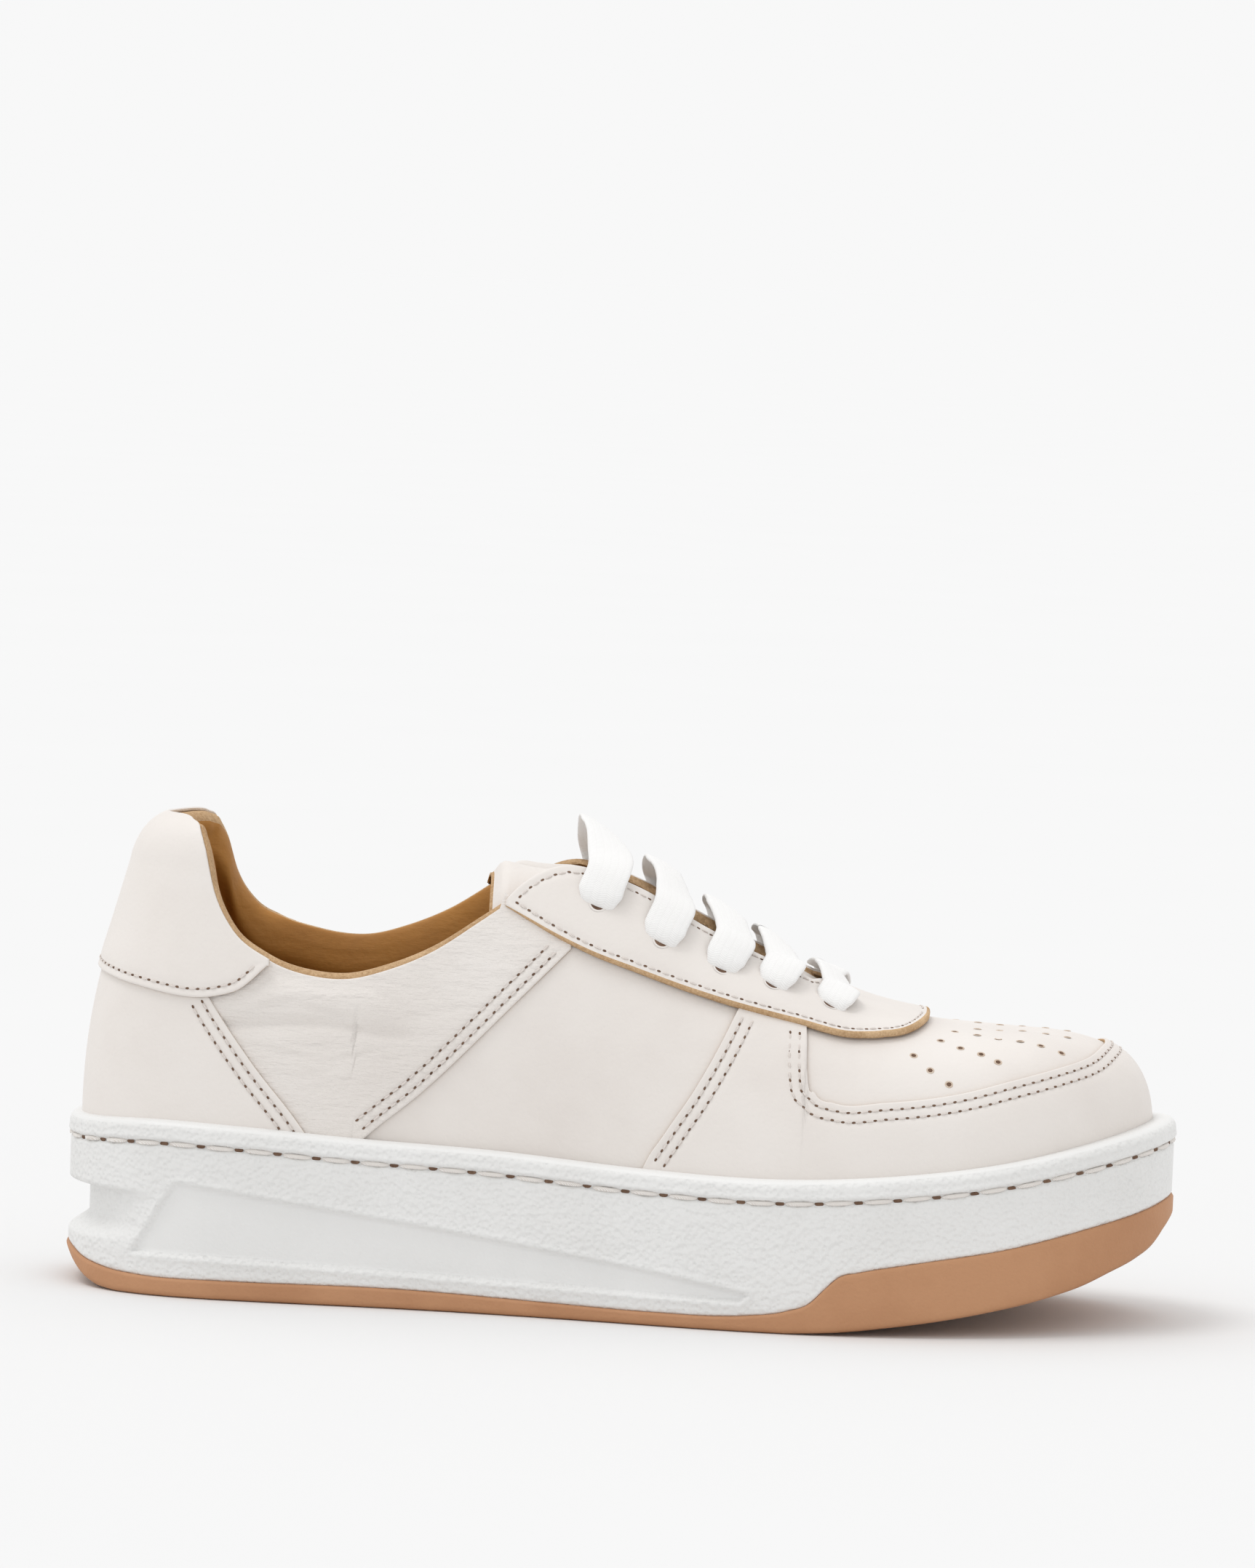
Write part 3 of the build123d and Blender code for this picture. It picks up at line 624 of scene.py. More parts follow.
def paint_raw(sheet, first, last, row_faces):
    """Gives rows of faces of a sheet's front its raw edge's material."""
    for face in sheet.data.polygons[first * row_faces:last * row_faces]:
        face.material_index = 1


def distance_to(points, others):
    """Distance from each point of a grid to the nearest of the others."""
    flat = points.reshape(-1, 3)
    out = np.empty(len(flat))
    for part in np.array_split(np.arange(len(flat)), len(flat) // BATCH + 1):
        out[part] = np.sqrt(((flat[part, None, :] - others[None, :, :]) ** 2).sum(-1).min(1))
    return out.reshape(points.shape[:2])


def rounded(distance, radius):
    """How far a rounded edge has fallen away at a distance from the border."""
    short = radius - np.minimum(distance, radius)
    return radius - np.sqrt(np.maximum(radius * radius - short**2, 0))


def graded(length, step, rim=(0.0, 0.12, 0.3, 0.55, 1.0)):
    """Shares from 0 to 1 across a length in mm, with close lines at both ends."""
    rim = np.array(rim)
    if length < 4 * rim[-1]:
        return np.linspace(0, 1, 9)
    middle = np.linspace(rim[-1], length - rim[-1], max(2, int((length - 2 * rim[-1]) / step) + 1))
    return np.concatenate([rim[:-1], middle, length - rim[:-1][::-1]]) / length


def collar_padding(c, h):
    """The padded roll below the collar, with the crease and the short folds under it."""
    p = place(c, h, 0.0)
    x, z = p[..., 0], p[..., 2]
    line = 68.3 + 1.6 * np.sin((x + 95) / 14) - 1.2 * ease(x, -75, -58)
    fade = ease(x, -108, -94) * (1 - ease(x, -62, -46))
    roll = 0.9 * fade * np.exp(-(((z - line - 6.5) / 4.5) ** 2))
    crease = -0.95 * fade * np.exp(-(((z - line) / 1.3) ** 2))
    folds = 0
    for fx, fz, slope, length, deep in COLLAR_FOLDS:
        u = ((x - fx) + slope * (z - fz)) / math.hypot(1, slope)
        v = ((z - fz) - slope * (x - fx)) / math.hypot(1, slope)
        folds = folds - deep * np.exp(-((u / length) ** 2) - (v / 0.7) ** 2)
        folds = folds + 0.6 * deep * np.exp(-((u / length) ** 2) - ((v - 1.5) / 1.0) ** 2)
    return roll + crease + folds


def leather_piece(
    name, C, H, level, mats=(ivory, white_edge), thick=1.1, rounding=0.5, dips=(), shape=None
):
    """Leather over the places C, H, with rounded edges and dips along its stitch rows."""
    flat = place(C, H, level * LAYER)
    near = distance_to(flat, np.concatenate([flat[0], flat[-1], flat[:, 0], flat[:, -1]]))
    out = level * LAYER - rounded(near, rounding)
    for row in dips:
        line = place(*row.T, level * LAYER)
        out = out - DIP_DEPTH * np.exp(-((distance_to(flat, line) / DIP_WIDTH) ** 2))
    if shape is not None:
        out = out + shape(C, H) * ease(near, 0.3, 5)
    piece = closed_sheet(name, place(C, H, out), place(C, H, level * LAYER - thick), mats)
    finish_piece(piece, "leather_upper", name)
    return piece


def side_span(side, rear, front):
    """The places along the base edge of a rear and a front x, in rising order."""
    return sorted((float(along(side, rear)), float(along(side, front))))


def heel_span(x):
    """The places along the base edge of an x on both sides of the heel."""
    return float(along(MEDIAL, x)) - AROUND, float(along(LATERAL, x))


def band(c0, c1, low, high, step=1.3):
    """A grid of places from low(c) to high(c) between two c."""
    cs = c0 + graded(abs(c1 - c0), step) * (c1 - c0)
    lo, hi = low(cs), high(cs)
    t = graded(float(np.max((hi - lo) * wall_length(cs))), step)
    return cs, hi + (lo - hi) * t[:, None]


# ---------------- stitching
def resample(line, step, out):
    """Evenly spaced places along a line of (c, h), measured on the layer at out."""
    share, known = np.linspace(0, 1, 400), np.linspace(0, 1, len(line))
    fine = [np.interp(share, known, line[:, k]) for k in (0, 1)]
    run = distance_run(place(*fine, out))
    at = np.linspace(0, run[-1], max(2, int(round(run[-1] / step)) + 1))
    return np.stack([np.interp(at, run, values) for values in fine], 1)


def inset_line(line, distance):
    """The line moved sideways over the surface, to the left of its run seen from outside."""
    c, h = line.T
    p = place(c, h, 0.0)
    tangent = unit(np.gradient(p, axis=0))
    dc = (place(c + 0.4, h, 0.0) - place(c - 0.4, h, 0.0)) / 0.8
    dh = (place(c, h + 0.004, 0.0) - place(c, h - 0.004, 0.0)) / 0.008
    across = np.cross(unit(np.cross(dc, dh)), tangent)
    a, b, d = (dc * dc).sum(1), (dc * dh).sum(1), (dh * dh).sum(1)
    u, v = (across * dc).sum(1), (across * dh).sum(1)
    det = a * d - b * b
    moved = np.stack([c + distance * (u * d - v * b) / det, h + distance * (v * a - u * b) / det], 1)
    spots = place(*moved.T, 0.0)
    gap = np.sqrt(((spots[:, None, :] - p[None]) ** 2).sum(-1)).min(1)
    return moved[(gap > 0.93 * abs(distance)) & (gap < 1.2 * abs(distance))]


def seam_rows(side, x, height, turn, below=math.inf):
    """Two stitch rows beside a seam, on its left where turn is 1 and on its right where it is -1."""
    c = along(side, x)
    line = np.stack([c, height(c)], 1)
    line = line[line[:, 1] < below]
    return [inset_line(line, gap * turn) for gap in ROW_GAPS]


def sew(name, rows, level, pitch=2.7, sink=0.22):
    """Rows of single stitches, each a short bowed thread between two needle holes, drawn as dark ovals of
    painted shade.
    """
    points, faces, index = [], [], []
    rng = np.random.default_rng(11)
    for row in rows:
        line = resample(row, pitch, level * LAYER)
        spots = place(*line.T, level * LAYER - sink)
        above = place(*line.T, level * LAYER - sink + 1)
        for k in range(len(line) - 1):
            start, end = spots[k], spots[k + 1]
            normal = above[k] - start
            direction = unit(end - start)
            side = unit(np.cross(normal, direction))
            direction = direction + side * rng.normal(0, 0.05)
            count = len(points)
            for t in np.linspace(-1, 1, 7):
                swell = THREAD_RADIUS * math.sqrt(max(1 - abs(t) ** 3, 0.05))
                bow = 0.2 * (1 - t * t) + 0.02
                centre = (start + end) / 2 + direction * (t * STITCH / 2) + normal * bow
                for angle in circle(6):
                    sideways, upwards = swell * math.cos(angle), swell * math.sin(angle) * 0.8
                    points.append(centre + side * sideways + normal * upwards)
            faces.extend(tube(count, 7, 6))
            faces.append(tuple(range(count + 5, count - 1, -1)))
            faces.append(tuple(range(count + 36, count + 42)))
            index += [0] * 38
            # the needle hole: a flat dark oval of painted shade
            count = len(points)
            centre = start + normal * (sink * 0.3)
            for angle in circle(8):
                ahead = direction * NEEDLE_HOLE[0] * math.cos(angle)
                points.append(centre + ahead + side * NEEDLE_HOLE[1] * math.sin(angle) + normal * 0.03)
            points.append(centre + normal * 0.1)
            faces.extend(fan(count, 8))
            index += [1] * 8
    shoe_piece(name, "upper_thread", points, faces, [thread, hole_shade], index)


# ---------------- the sole
COLUMNS = 900  # points in each ring round the sole
RIM_ROUND, TREAD_ROUND = 2.6, 1.6
GROOVE_DROP, GROOVE_DEPTH = 5.7, 1.15  # of the stitched groove, from the rim and from the side
PANEL_DEPTH, NOTCH_DEPTH = 1.15, 5.2
SOLE_PITCH, SOLE_STITCH, SOLE_THREAD = 9.6, 7.8, 0.62
BOARD_INSET = 9.6
every = np.arange(OUTLINE_POINTS)
pick = np.linspace(0, OUTLINE_POINTS - 1, COLUMNS + 1)[:-1]
ox, oy = (np.interp(pick, every, OUTLINE[:, k]) for k in (0, 1))
inx, iny = (np.interp(pick, every, INWARD[:, k]) for k in (0, 1))


def tread(x):
    return np.maximum(smooth(x, TREAD), 0)


rim_z, gum_z, tread_z, centre_y = smooth(ox, RIM), smooth(ox, GUM_TOP), tread(ox), centre_line(ox)


def ring_points(depth, z):
    return np.stack([ox + inx * depth, oy + iny * depth, z], axis=-1)


def polygon_distance(x, z, polygon):
    """Signed distance to a polygon, positive inside."""
    p = np.array(polygon, float)
    best = np.full(x.shape, np.inf)
    inside = np.zeros(x.shape, bool)
    for a, b in zip(p, np.roll(p, -1, axis=0)):
        d = b - a
        t = np.clip(((x - a[0]) * d[0] + (z - a[1]) * d[1]) / (d @ d), 0, 1)
        best = np.minimum(best, np.hypot(x - a[0] - t * d[0], z - a[1] - t * d[1]))
        edge_x = d[0] * (z - a[1]) / (d[1] + 1e-12) + a[0]
        inside ^= ((a[1] > z) != (b[1] > z)) & (x < edge_x)
    return np.where(inside, best, -best)


def wall_depth(x, z, rim):
    """How far the cupsole's side lies inside its outline, at each place of the side view."""
    below = rim - z
    panel = polygon_distance(x, z, SIDE_RECESS)
    depth = 0.35 * ease(below, 4.5, 7.5) + rounded(below, RIM_ROUND)
    depth = depth + GROOVE_DEPTH * np.exp(-(((below - GROOVE_DROP) / 0.75) ** 2))
    depth = depth - 0.25 * np.exp(-(((below - 4.4) / 0.9) ** 2))
    depth = depth + PANEL_DEPTH * ease(panel, -0.5, 0.6) - 0.3 * np.exp(-(((panel + 1.0) / 0.6) ** 2))
    notch = ease(z, 12.5, 17.5) * (1 - ease(z, 24.2, 26.2)) * (1 - ease(x, -136, -113))
    return depth + NOTCH_DEPTH * notch


rows = [ring_points(3.5, gum_z)]
levels = np.unique(np.concatenate([np.linspace(0, 1, 64), 1 - np.linspace(0, 9, 46) / 34]))
for t in levels:
    z = gum_z + t * (rim_z - gum_z)
    rows.append(ring_points(wall_depth(ox, z, rim_z) + 0.45 * (1 - ease(z - gum_z, 0, 0.8)), z))
inner_face = 1.3 + 0.9 * ease(ox, 60, 130)
for depth, drop in ((3.2, -0.02), (3.8, 0.1), (4.3, 0.4), (4.55, 1.0), (4.6, 3.0), (4.6, 9.0)):
    rows.append(ring_points(depth + inner_face * (depth > 4), rim_z - drop))
rows += [ring_points(9.0, rim_z - 14.0), ring_points(9.2, rim_z - 17.0)]
side_x, _, side_z = np.moveaxis(np.array(rows[:-1]), -1, 0)
ring = np.arange(len(rows) - 1)[:, None]
in_panel = polygon_distance(side_x, side_z, SIDE_RECESS) > 0.3
is_smooth = (in_panel & (ring < len(levels) + 1)) | (ring > len(levels) - 8)
faces = tube(0, len(rows), COLUMNS)
shoe_piece("cupsole", "cup_rubber", rows, faces, [rubber, smooth_rubber], is_smooth)

rows = [ring_points(6.0, gum_z - 0.3)]
for t in np.linspace(1, 0, 26):
    z = tread_z + t * (gum_z - tread_z)
    depth = rounded(z - tread_z, TREAD_ROUND) * np.clip((gum_z - tread_z) / 3, 0.2, 1)
    rows.append(ring_points(depth + 0.4 * (1 - ease(gum_z - z, 0, 0.7)) - 0.1, z))
base = rows[-1]
for s in np.linspace(0, 1, 26)[1:]:
    x = base[:, 0] * (1 - 0.04 * s)
    y = base[:, 1] * (1 - s) + centre_y * s
    across = np.abs(((x * 0.12 + np.abs(y) * 0.06) % 1) - 0.5)
    groove = 1.2 * ease(across, 0.28, 0.36) * ease(s, 0.08, 0.16)
    rows.append(np.stack([x, y, tread(x) + groove * (s < 0.99)], axis=-1))
faces = tube(0, len(rows), COLUMNS, (1, 0, 3, 2))
shoe_piece("gum_outsole", "gum_rubber", rows, faces, [gum])

# the thick stitches that lie in the cupsole's groove, each with its needle hole, a dark disc of painted
# shade
points, faces, index = [], [], []
run = distance_run(np.stack([ox, oy], 1))
stitch_count = int(run[-1] / SOLE_PITCH)
rng = np.random.default_rng(4)
for k in range(stitch_count):
    middle = (k + 0.5) * run[-1] / stitch_count
    at = np.interp(middle + np.linspace(-0.5, 0.5, 15) * SOLE_STITCH, run, np.arange(COLUMNS))
    x, y, nx, ny = (np.interp(at, np.arange(COLUMNS), v) for v in (ox, oy, inx, iny))
    z = smooth(x, RIM) - GROOVE_DROP + rng.normal(0, 0.06)
    faces.extend(tube(len(points), 15, 8, (0, 3, 2, 1)))
    index += [0] * 14 * 8
    for j, t in enumerate(np.linspace(-1, 1, 15)):
        size = SOLE_THREAD * math.sqrt(max(1 - t**4, 0.04))
        depth = 0.55 + 1.0 * abs(t) ** 3
        for angle in circle(8):
            off = depth - size * math.cos(angle)
            points.append((x[j] + nx[j] * off, y[j] + ny[j] * off, z[j] + size * math.sin(angle) * 0.95))
    faces.extend(face[::-1] for face in fan(len(points), 10))
    index += [1] * 10
    # a flat dark disc of painted shade for the needle hole past the stitch's end
    dx, dy = x[-1] - x[-2], y[-1] - y[-2]
    hx, hy = x[-1] + dx * 1.6, y[-1] + dy * 1.6
    for angle in circle(10):
        ahead = 1.15 / 0.557 * math.cos(angle)
        hole_x, hole_y = hx + dx * ahead + nx[-1] * 0.95, hy + dy * ahead + ny[-1] * 0.95
        points.append((hole_x, hole_y, z[-1] + SOLE_THREAD * math.sin(angle)))
    points.append((hx + nx[-1] * 0.8, hy + ny[-1] * 0.8, z[-1]))
shoe_piece("sole_stitching", "sole_thread", points, faces, [sole_thread, hole_shade], index)

# ---------------- lining, footbed
shelf_z = wall_foot(ox) - 5
base = ring_points(BOARD_INSET, shelf_z)
rows = [ring_points(BOARD_INSET, shelf_z + 2.2)]
for s in np.linspace(0, 1, 20):
    x = base[:, 0] * (1 - 0.05 * s)
    y = base[:, 1] * (1 - s) + centre_y * s
    crown = 6.0 - 2.2 * ease(s, 0, 0.5) + 0.5 * np.sin(x / 19) * s
    rows.append(np.stack([x, y, wall_foot(x) - 5 + crown], axis=-1))
faces = tube(0, len(rows), COLUMNS)
shoe_piece("sock_liner", "liner_cloth", rows, faces, [liner_mat])

cs = np.linspace(along(MEDIAL, 49) - AROUND, along(LATERAL, 49), 420)
top = np.where(base_x(cs) < -30, collar(cs), throat(cs) - 0.012)
lengths = wall_length(cs)
near_collar = 1 - ease(base_x(cs), -36, -24)
rows = []
for t in np.linspace(0, 1, 46):
    h = -0.02 + t * (top - 2.2 / lengths + 0.02)
    padding = 3.0 * near_collar * np.exp(-((((top - h) * lengths - 8.5) / 6.0) ** 2))
    crease = 0.7 * near_collar * np.exp(-((((top - h) * lengths - 17) / 1.6) ** 2))
    rows.append(place(cs, h, LINING_FACE - padding + crease))
reach_out = 0.15 + 2.3 * (1 - ease(base_x(cs), -93, -87.6))
centre, half = (LINING_FACE + reach_out) / 2, (reach_out - LINING_FACE) / 2 - 0.05
for angle in np.linspace(0.15, 1, 7) * math.pi:
    rolled = top + (-1.6 + 2.1 * math.sin(angle)) / lengths
    rows.append(place(cs, rolled, centre - half * math.cos(angle)))
rows.append(place(cs, top - 4.0 / lengths, reach_out - 0.1))
faces = quads(len(rows), len(cs), 0, True)
is_edge = np.arange(len(faces)) // (len(cs) - 1) > 47
shoe_piece("quarter_lining", "tan_leather", rows, faces, [tan, raw_edge], is_edge)


def dome_grid(x_rear, reach, step_rows=22, columns=61):
    """Places over the toes, from x_rear round to the tip, down to h = reach(c)."""
    x_fan = 80
    fan_start, fan_end = along(LATERAL, x_fan), along(MEDIAL, x_fan)
    vs = np.linspace(-1, 1, columns)
    C, H = [], []
    for x in np.linspace(x_rear, x_fan, step_rows)[:-1]:
        c = over(vs, x)
        C.append(c)
        H.append(1 - np.abs(vs) * (1 - reach(c)))
    for u in np.linspace(0, 1, 30):
        forward = u * np.sqrt(1 - vs * vs / 2)
        sideways = vs * np.sqrt(1 - u * u / 2)
        turn = np.arctan2(sideways, forward + 1e-9) / (np.pi / 2)
        c = TOE + turn * np.where(turn > 0, fan_end - TOE, TOE - fan_start)
        C.append(c)
        H.append(1 - np.hypot(forward, sideways) * (1 - reach(c)))
    return np.array(C), np.array(H)


C, H = dome_grid(50, lambda c: np.full(np.shape(c), -0.02))
vamp_lining = closed_sheet("vamp_lining", place(C, H, -2.8), place(C, H, -3.6), [tan, tan])
finish_piece(vamp_lining, "tan_leather", "vamp_lining")


# ---------------- leather pieces
def under_rim(c):
    return np.full(np.shape(c), -0.03)


C, H = dome_grid(37, lambda c: overlay_top(c) - 0.09, 30, 91)
leather_piece("vamp", C, H, 0)
# the perforations: pale rims round dark discs of painted shade for the holes
points, faces = [], []
flat = place(C, H, 0.0).reshape(-1, 3)
for side, _ in SIDES:
    for px, py in PERFORATIONS:
        y_here = py if side == LATERAL else 7.5 - py
        nearest = np.argmin((flat[:, 0] - px) ** 2 + (flat[:, 1] - y_here) ** 2)
        spot = flat[nearest]
        normal = unit(place(C.flat[nearest], H.flat[nearest], 1.0) - spot)
        shift = np.array([px - spot[0], y_here - spot[1], 0])
        shift[2] -= (shift @ normal) / max(normal[2], 0.3)
        rings = ((1.05, 0.02), (0.8, 0.14), (0.62, 0.05))
        punch(points, faces, spot + shift, normal, (0, 1, 0), rings, 14, 0.03)
punched_object("vamp_perforations", points, faces, white_edge)

# toe overlay: one piece round the toe, with its rear seams and its top edge
OVERLAY_CORNER = 199.6


def overlay_edge(c):
    m = on_lateral(c)
    return np.where(m < OVERLAY_CORNER, np.minimum(toe_seam(c), 0.606), overlay_top(c))


seam_end = along(LATERAL, 31)
columns = np.unique(np.round(np.concatenate([
    along(LATERAL, np.linspace(6.5, 31, 30)), np.linspace(seam_end, 199.5, 26)[1:],
    np.linspace(199.5, 209, 22)[1:], np.linspace(209, mirror(209), 170)[1:-1],
    mirror(np.linspace(209, 199.5, 22)), mirror(np.linspace(seam_end, 199.5, 26)[1:-1])[::-1],
    along(MEDIAL, np.linspace(31, 6.5, 30)),
]), 4))
lo, hi = under_rim(columns), np.maximum(overlay_edge(columns), 0.0)
H = hi + (lo - hi) * graded(60, 1.4)[:, None]
toe_rows = []
for side, _ in SIDES:
    toe_rows += seam_rows(side, np.linspace(9.5, 29, 60), toe_seam, side, 0.59)
corner_c = np.linspace(199.9, 209, 40)
edge_c = np.concatenate([corner_c, np.linspace(209, mirror(209), 200)[1:-1], mirror(corner_c[::-1])])
edge = np.stack([edge_c, overlay_top(edge_c)], 1)
for gap in (1.9, 4.3):
    row = inset_line(edge, -gap)
    toe_rows.append(row[row[:, 1] > 0.1])
leather_piece("toe_overlay", columns, H, 1, [ivory, raw_edge], dips=toe_rows)
sew("toe_overlay_stitching", toe_rows, 1)


def panel_top(c):
    eyestay = eyestay_low(c) + 0.04
    return np.where(base_x(c) < -12, np.clip(front_seam(c) + 0.05, 0.16, eyestay), eyestay)


def collar_low(c):
    return np.where(base_x(c) > -66, np.maximum(front_seam(c), -0.03), -0.03)


def collar_high(c):
    high = np.where(base_x(c) < -30, collar(c) - 1.3 / wall_length(c), eyestay_low(c) + 0.03)
    return np.maximum(high, collar_low(c) + 0.004)


counter_rows = []
for side, word in SIDES:
    C, H = band(*side_span(side, -74, 33), under_rim, panel_top)
    leather_piece(f"side_panel_{word}", C, H, 0)

    C, H = band(*side_span(side, -112, -12.5), collar_low, collar_high, 1.1)
    rows = seam_rows(side, np.linspace(-61, -14.5, 90), front_seam, -side)
    edges = [ivory_soft, white_edge]
    leather_piece(f"collar_panel_{word}", C, H, 1, edges, dips=rows, shape=collar_padding)
    sew(f"collar_panel_stitching_{word}", rows, 1)

    rows = seam_rows(side, np.linspace(-102.5, -75, 60), counter_top, side)
    counter_rows += rows
    sew(f"heel_counter_stitching_{word}", rows, 2, sink=0.16)

C, H = band(*heel_span(-73), under_rim, lambda c: np.maximum(counter_top(c), 0.0), 1.2)
leather_piece("heel_counter_panel", C, H, 2, dips=counter_rows)


def tab_top(c):
    return collar(c) - 1.2 / wall_length(c)


c0, c1 = heel_span(-87.5)
C, H = band(c0, c1, lambda c: np.minimum(tab_low(c), tab_top(c) - 0.004), tab_top, 1.1)
cs = np.linspace(c0 + 2.0, c1 - 2.0, 200)
tab_row = inset_line(np.stack([cs, tab_low(cs)], 1), 2.0)
leather_piece("heel_tab", C, H, 3, dips=[tab_row])
sew("heel_tab_stitching", [tab_row], 3)

# ---------------- eyestay
MEDIAL_DROP = 0.006  # how much lower its inner edge lies on the medial side, of the way up the wall
BARE_ROWS = 4  # rows of faces along its lower edge that show raw leather
X_TURN, X_FRONT = 46, 77  # where its lower edge turns in, and its front


def eyestay_column(t):
    """Inner and outer (x, h) of the lateral half of the U, t from 0 at its rear end to 1 on the ridge."""
    if t < 0.6:
        x = -29.5 + (X_TURN + 29.5) * t / 0.6
        return (x, float(smooth(x, THROAT))), (x, float(smooth(x, EYESTAY_LOW)))
    s = (t - 0.6) / 0.4
    x = X_TURN + (X_FRONT - X_TURN) * math.sin(s * math.pi / 2)
    low = float(smooth(min(x, 66), EYESTAY_LOW))
    outer_h = low + (1 - low) * (1 - math.cos(s * math.pi / 2)) ** 2.2
    return (X_TURN + 4 * min(1, 1.6 * s), 0.826 + 0.174 * s), (x, outer_h)


halves = np.concatenate([np.linspace(0, 0.02, 5)[:-1], np.linspace(0.02, 1, 125)])
ts = np.concatenate([halves, halves[::-1][1:]])
middle = len(halves) - 1
across = graded(26, 1.1)
C, H = np.empty((len(across), len(ts))), np.empty((len(across), len(ts)))
for j, t in enumerate(ts):
    side = LATERAL if j <= middle else MEDIAL
    (xi, hi), (xo, ho) = eyestay_column(float(t))
    if side == MEDIAL:
        hi -= MEDIAL_DROP * float(ease(t, 0.02, 0.1) * (1 - ease(t, 0.5, 0.62)))
    C[:, j] = along(side, xi + across * (xo - xi))
    H[:, j] = hi + across * (ho - hi)
outer_edge, inner_edge = (np.stack([C[k], H[k]], 1) for k in (-1, 0))
low_rows = [inset_line(part, 2.0) for part in (outer_edge[3:middle - 1], outer_edge[middle + 2:-3])]
high_rows = [inset_line(part, -2.2) for part in (inner_edge[3:middle - 46], inner_edge[middle + 46:-3])]
eyestay = leather_piece(
    "eyestay", C, H, 2, [ivory, raw_edge], thick=1.5, rounding=0.7, dips=low_rows + high_rows
)
paint_raw(eyestay, len(across) - 1 - BARE_ROWS, len(across) - 1, len(ts) - 1)
for n, (side, word) in enumerate(SIDES):
    sew(f"eyestay_stitching_{word}", [low_rows[n], high_rows[n]], 2, pitch=3.6)

for side, word in SIDES:
    lower_by = 0.0 if side == MEDIAL else 0.004
    C, H = band(*side_span(side, -27, 50), lambda c: throat(c) - 0.15, lambda c: throat(c) - lower_by, 1.2)
    outside = place(C, H, 1.1)
    inside = place(C, H, -1.2) + np.random.default_rng(5).normal(0, 0.12, outside.shape)
    backer = closed_sheet(f"eyestay_backer_{word}", outside, inside, [suede, raw_edge], 1, 0)
    finish_piece(backer, "tan_leather", f"eyestay_backer_{word}")

# ---------------- tongue
X_REAR = -34
TONGUE_SHIFT = 5.5  # how much further forward its medial corner starts
xs = np.concatenate([X_REAR + np.array([0, 0.15, 0.4, 0.8]), np.linspace(-32.6, 58, 76)])
vs = np.concatenate([[-1, -0.995, -0.985], np.linspace(-0.97, 0.97, 81), [0.985, 0.995, 1]])
X, V = np.meshgrid(xs, vs, indexing="ij")
X = X + TONGUE_SHIFT * ease(V, -0.7, 0.7) * (1 - ease(X, X_REAR, -12))
V_size = np.abs(V)
C = over(V, X)
H = 1 - V_size * (1 - (0.60 + 0.10 * ease(X, -28, -12)))
sag = (13 - 7.5 * ease(X, -32, 10)) * (1 - ease(V_size, 0.02, 0.85 - 0.2 * ease(X, -30, -10)))
out = -3.6 - 2.2 * ease(X, -28, -16) - sag
padding = 1.3 + 4.2 * ease(X, -32, -24) * (1 - ease(V_size, 0.75, 1))
turned_down = np.zeros((*X.shape, 3))
turned_down[..., 2] = 4.2 * (1 - ease(xs[:, None], X_REAR, -28.5)) ** 2.2 * (1 - ease(V_size, 0.85, 1))
face = place(C, H, out) - turned_down
lining_face = place(C, H, out - padding) - turned_down
tongue = closed_sheet("tongue", face, lining_face, [ivory, raw_edge, tan], 1, 2)
paint_raw(tongue, 0, 3, len(vs) - 1)
finish_piece(tongue, "leather_upper", "tongue_face", "tongue_foam", "tongue_lining", body="tongue")

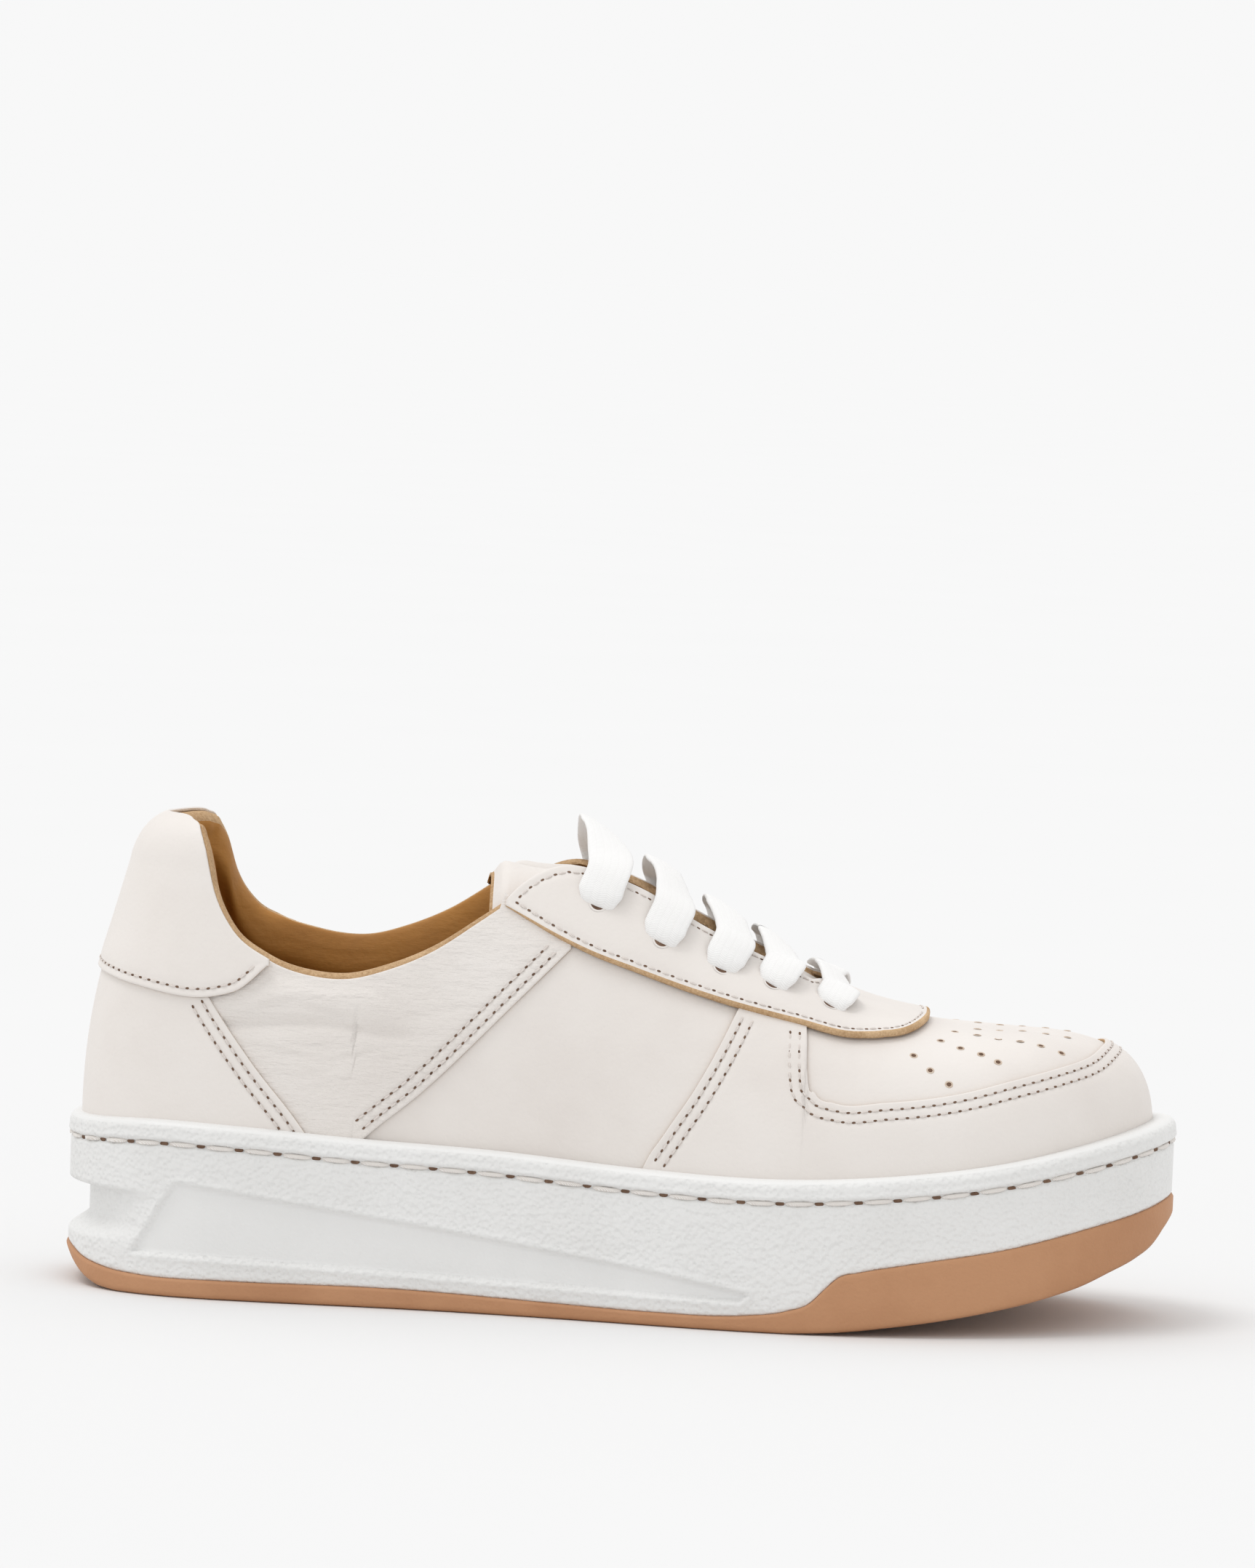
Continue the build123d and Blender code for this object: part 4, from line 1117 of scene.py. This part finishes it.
# ---------------- lace
CORNERS = 20  # of the lace's section
points, faces, uvs = [], [], []
hole_points, hole_faces = [], []
for n, ((ex, eh), (sway, width, crest, tilt)) in enumerate(zip(EYELETS, LACE_BARS)):
    turn = np.linspace(0.9, 1, 12)[1:]
    v = np.concatenate([-turn[::-1], np.linspace(-0.9, 0.9, 81), turn])
    arc = np.abs(v)
    h = 1 - (1 - eh) * np.minimum(arc, 0.999)
    x = ex + sway * smooth(v, LACE_SWAY) + 0.3 * np.sin(v * 2.1 + n)
    c = over(v, x)
    free = 2.6 + 1.2 * ease(arc, 0.3, 0.7) + 1.3 * (1 - ease(np.abs(arc - 0.72), 0, 0.25))
    dive = -1.6 * ease(arc, 0.88, 1.0) - 4.5 * ease(arc, 0.93, 1.0) ** 2
    height = free + dive + crest * (1 - ease(arc, 0.0, 0.6))
    centre = place(c, h, height)
    tangent = unit(np.gradient(centre, axis=0))
    side_dir = unit(np.cross(tangent, place(c, h, height + 1) - centre))
    normal = np.cross(side_dir, tangent)
    run = distance_run(centre)
    start = len(points)
    for k in range(len(v)):
        w = width / 2 * (1 - 0.32 * ease(arc[k], 0.88, 1.0)) * (1 + 0.03 * math.sin(run[k] / 3 + n))
        thick = 0.75 + 0.5 * float(ease(arc[k], 0.86, 1.0))
        twist = 0.12 * math.sin(run[k] / 9 + 2 * n)
        if v[k] < 0:
            twist += tilt * 0.35 * float(ease(arc[k], 0.3, 0.8))
        s = side_dir[k] * math.cos(twist) + normal[k] * math.sin(twist)
        u = normal[k] * math.cos(twist) - side_dir[k] * math.sin(twist)
        for angle in circle(CORNERS):
            ca, sa = math.cos(angle), math.sin(angle)
            across_w = math.copysign(abs(ca) ** 0.75, ca) * w
            up_t = math.copysign(abs(sa) ** 0.6, sa) * thick - 0.35 * (across_w / w) ** 2
            points.append(centre[k] + s * across_w + u * up_t)
            uvs.append((run[k], across_w / width + 0.5))
    faces.extend(tube(start, len(v), CORNERS, (0, 3, 2, 1)))
    faces.append(tuple(range(start, start + CORNERS)))
    faces.append(tuple(range(len(points) - 1, len(points) - 1 - CORNERS, -1)))
    # each eyelet: a pale rim round a dark disc of painted shade, partly under the lace's end
    for side, _ in SIDES:
        c = float(along(side, ex + 0.2))
        spot = place(c, eh + 0.012, 2.4)
        up = place(c, eh + 0.012, 3.4) - spot
        rings = ((2.4, 0.02), (2.15, 0.08), (1.9, 0.02))
        punch(hole_points, hole_faces, spot, up, (1, 0, 0), rings, 24, 0.01)
lace = shoe_piece("shoelace", "lace_cotton", points, faces, [lace_mat])
layer = lace.data.uv_layers.new(name="weave")
loop_verts = np.empty(len(lace.data.loops), dtype=np.int32)
lace.data.loops.foreach_get("vertex_index", loop_verts)
layer.data.foreach_set("uv", np.array(uvs, dtype=np.float32)[loop_verts].reshape(-1))
punched_object("eyelet_rims", hole_points, hole_faces, ivory)

# ---------------- hidden CAD nodes that stay
for node, mat in (
    ("midsole_filler", foam_mat), ("insole_board", board_mat), ("heel_stiffener", board_mat),
    ("toe_puff", board_mat), ("collar_foam", foam_mat),
):
    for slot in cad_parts[node].material_slots:
        slot.material = mat

# ---------------- stage, light and camera
floor_mat, tree, shader = new_material("studio_paper", 1.0, 0.0)
colour_by(tree, shader, noise(tree, 6, 3), [(0.3, (0.781, 0.781, 0.781)), (0.7, (0.785, 0.785, 0.785))])
points = [(x * 1e5, y * 1e5, -0.05) for x, y in ((-1, -1), (1, -1), (1, 1), (-1, 1))]
floor = mesh_object("paper_floor", points, [(0, 1, 2, 3)], [floor_mat])

world = bpy.data.worlds.new("studio")
scene.world = world
world.use_nodes = True
world.node_tree.nodes["Background"].inputs["Color"].default_value = (0.938, 0.938, 0.938, 1)


def sun(name, source, power, softness):
    """A sun that shines from the direction source, softness degrees wide."""
    data = bpy.data.lights.new(name, "SUN")
    data.energy = power
    data.angle = math.radians(softness)
    add_object(name, data).rotation_euler = Vector(source).to_track_quat("Z", "Y").to_euler()


sun("window", (-0.38, -0.12, 1.0), 0.6, 22)
sun("ceiling", (-0.15, 0.35, 1.0), 0.28, 55)

CAMERA_DISTANCE = 1.8  # in metres, as all of the camera's lengths
azimuth, elevation, roll = math.radians(3.0), math.radians(6.5), math.radians(2.15)
target = Vector((0, 0, 0.0563))
back = Vector((math.sin(azimuth), -math.cos(azimuth), math.tan(elevation))).normalized()
right = (-back).cross(Vector((0, 0, 1))).normalized()
up = right.cross(-back).normalized()
right, up = right * math.cos(roll) + up * math.sin(roll), up * math.cos(roll) - right * math.sin(roll)
camera_data = bpy.data.cameras.new("camera")
camera_data.lens = 163.3
camera_data.shift_x = 0.0026
camera_data.shift_y = 0.1865
camera_data.clip_end = 100
camera = add_object("camera", camera_data)
turned = Matrix((right, up, back)).transposed().to_4x4()
camera.matrix_world = Matrix.Translation(target + back * CAMERA_DISTANCE) @ turned
scene.camera = camera
scene.view_settings.view_transform = "Standard"
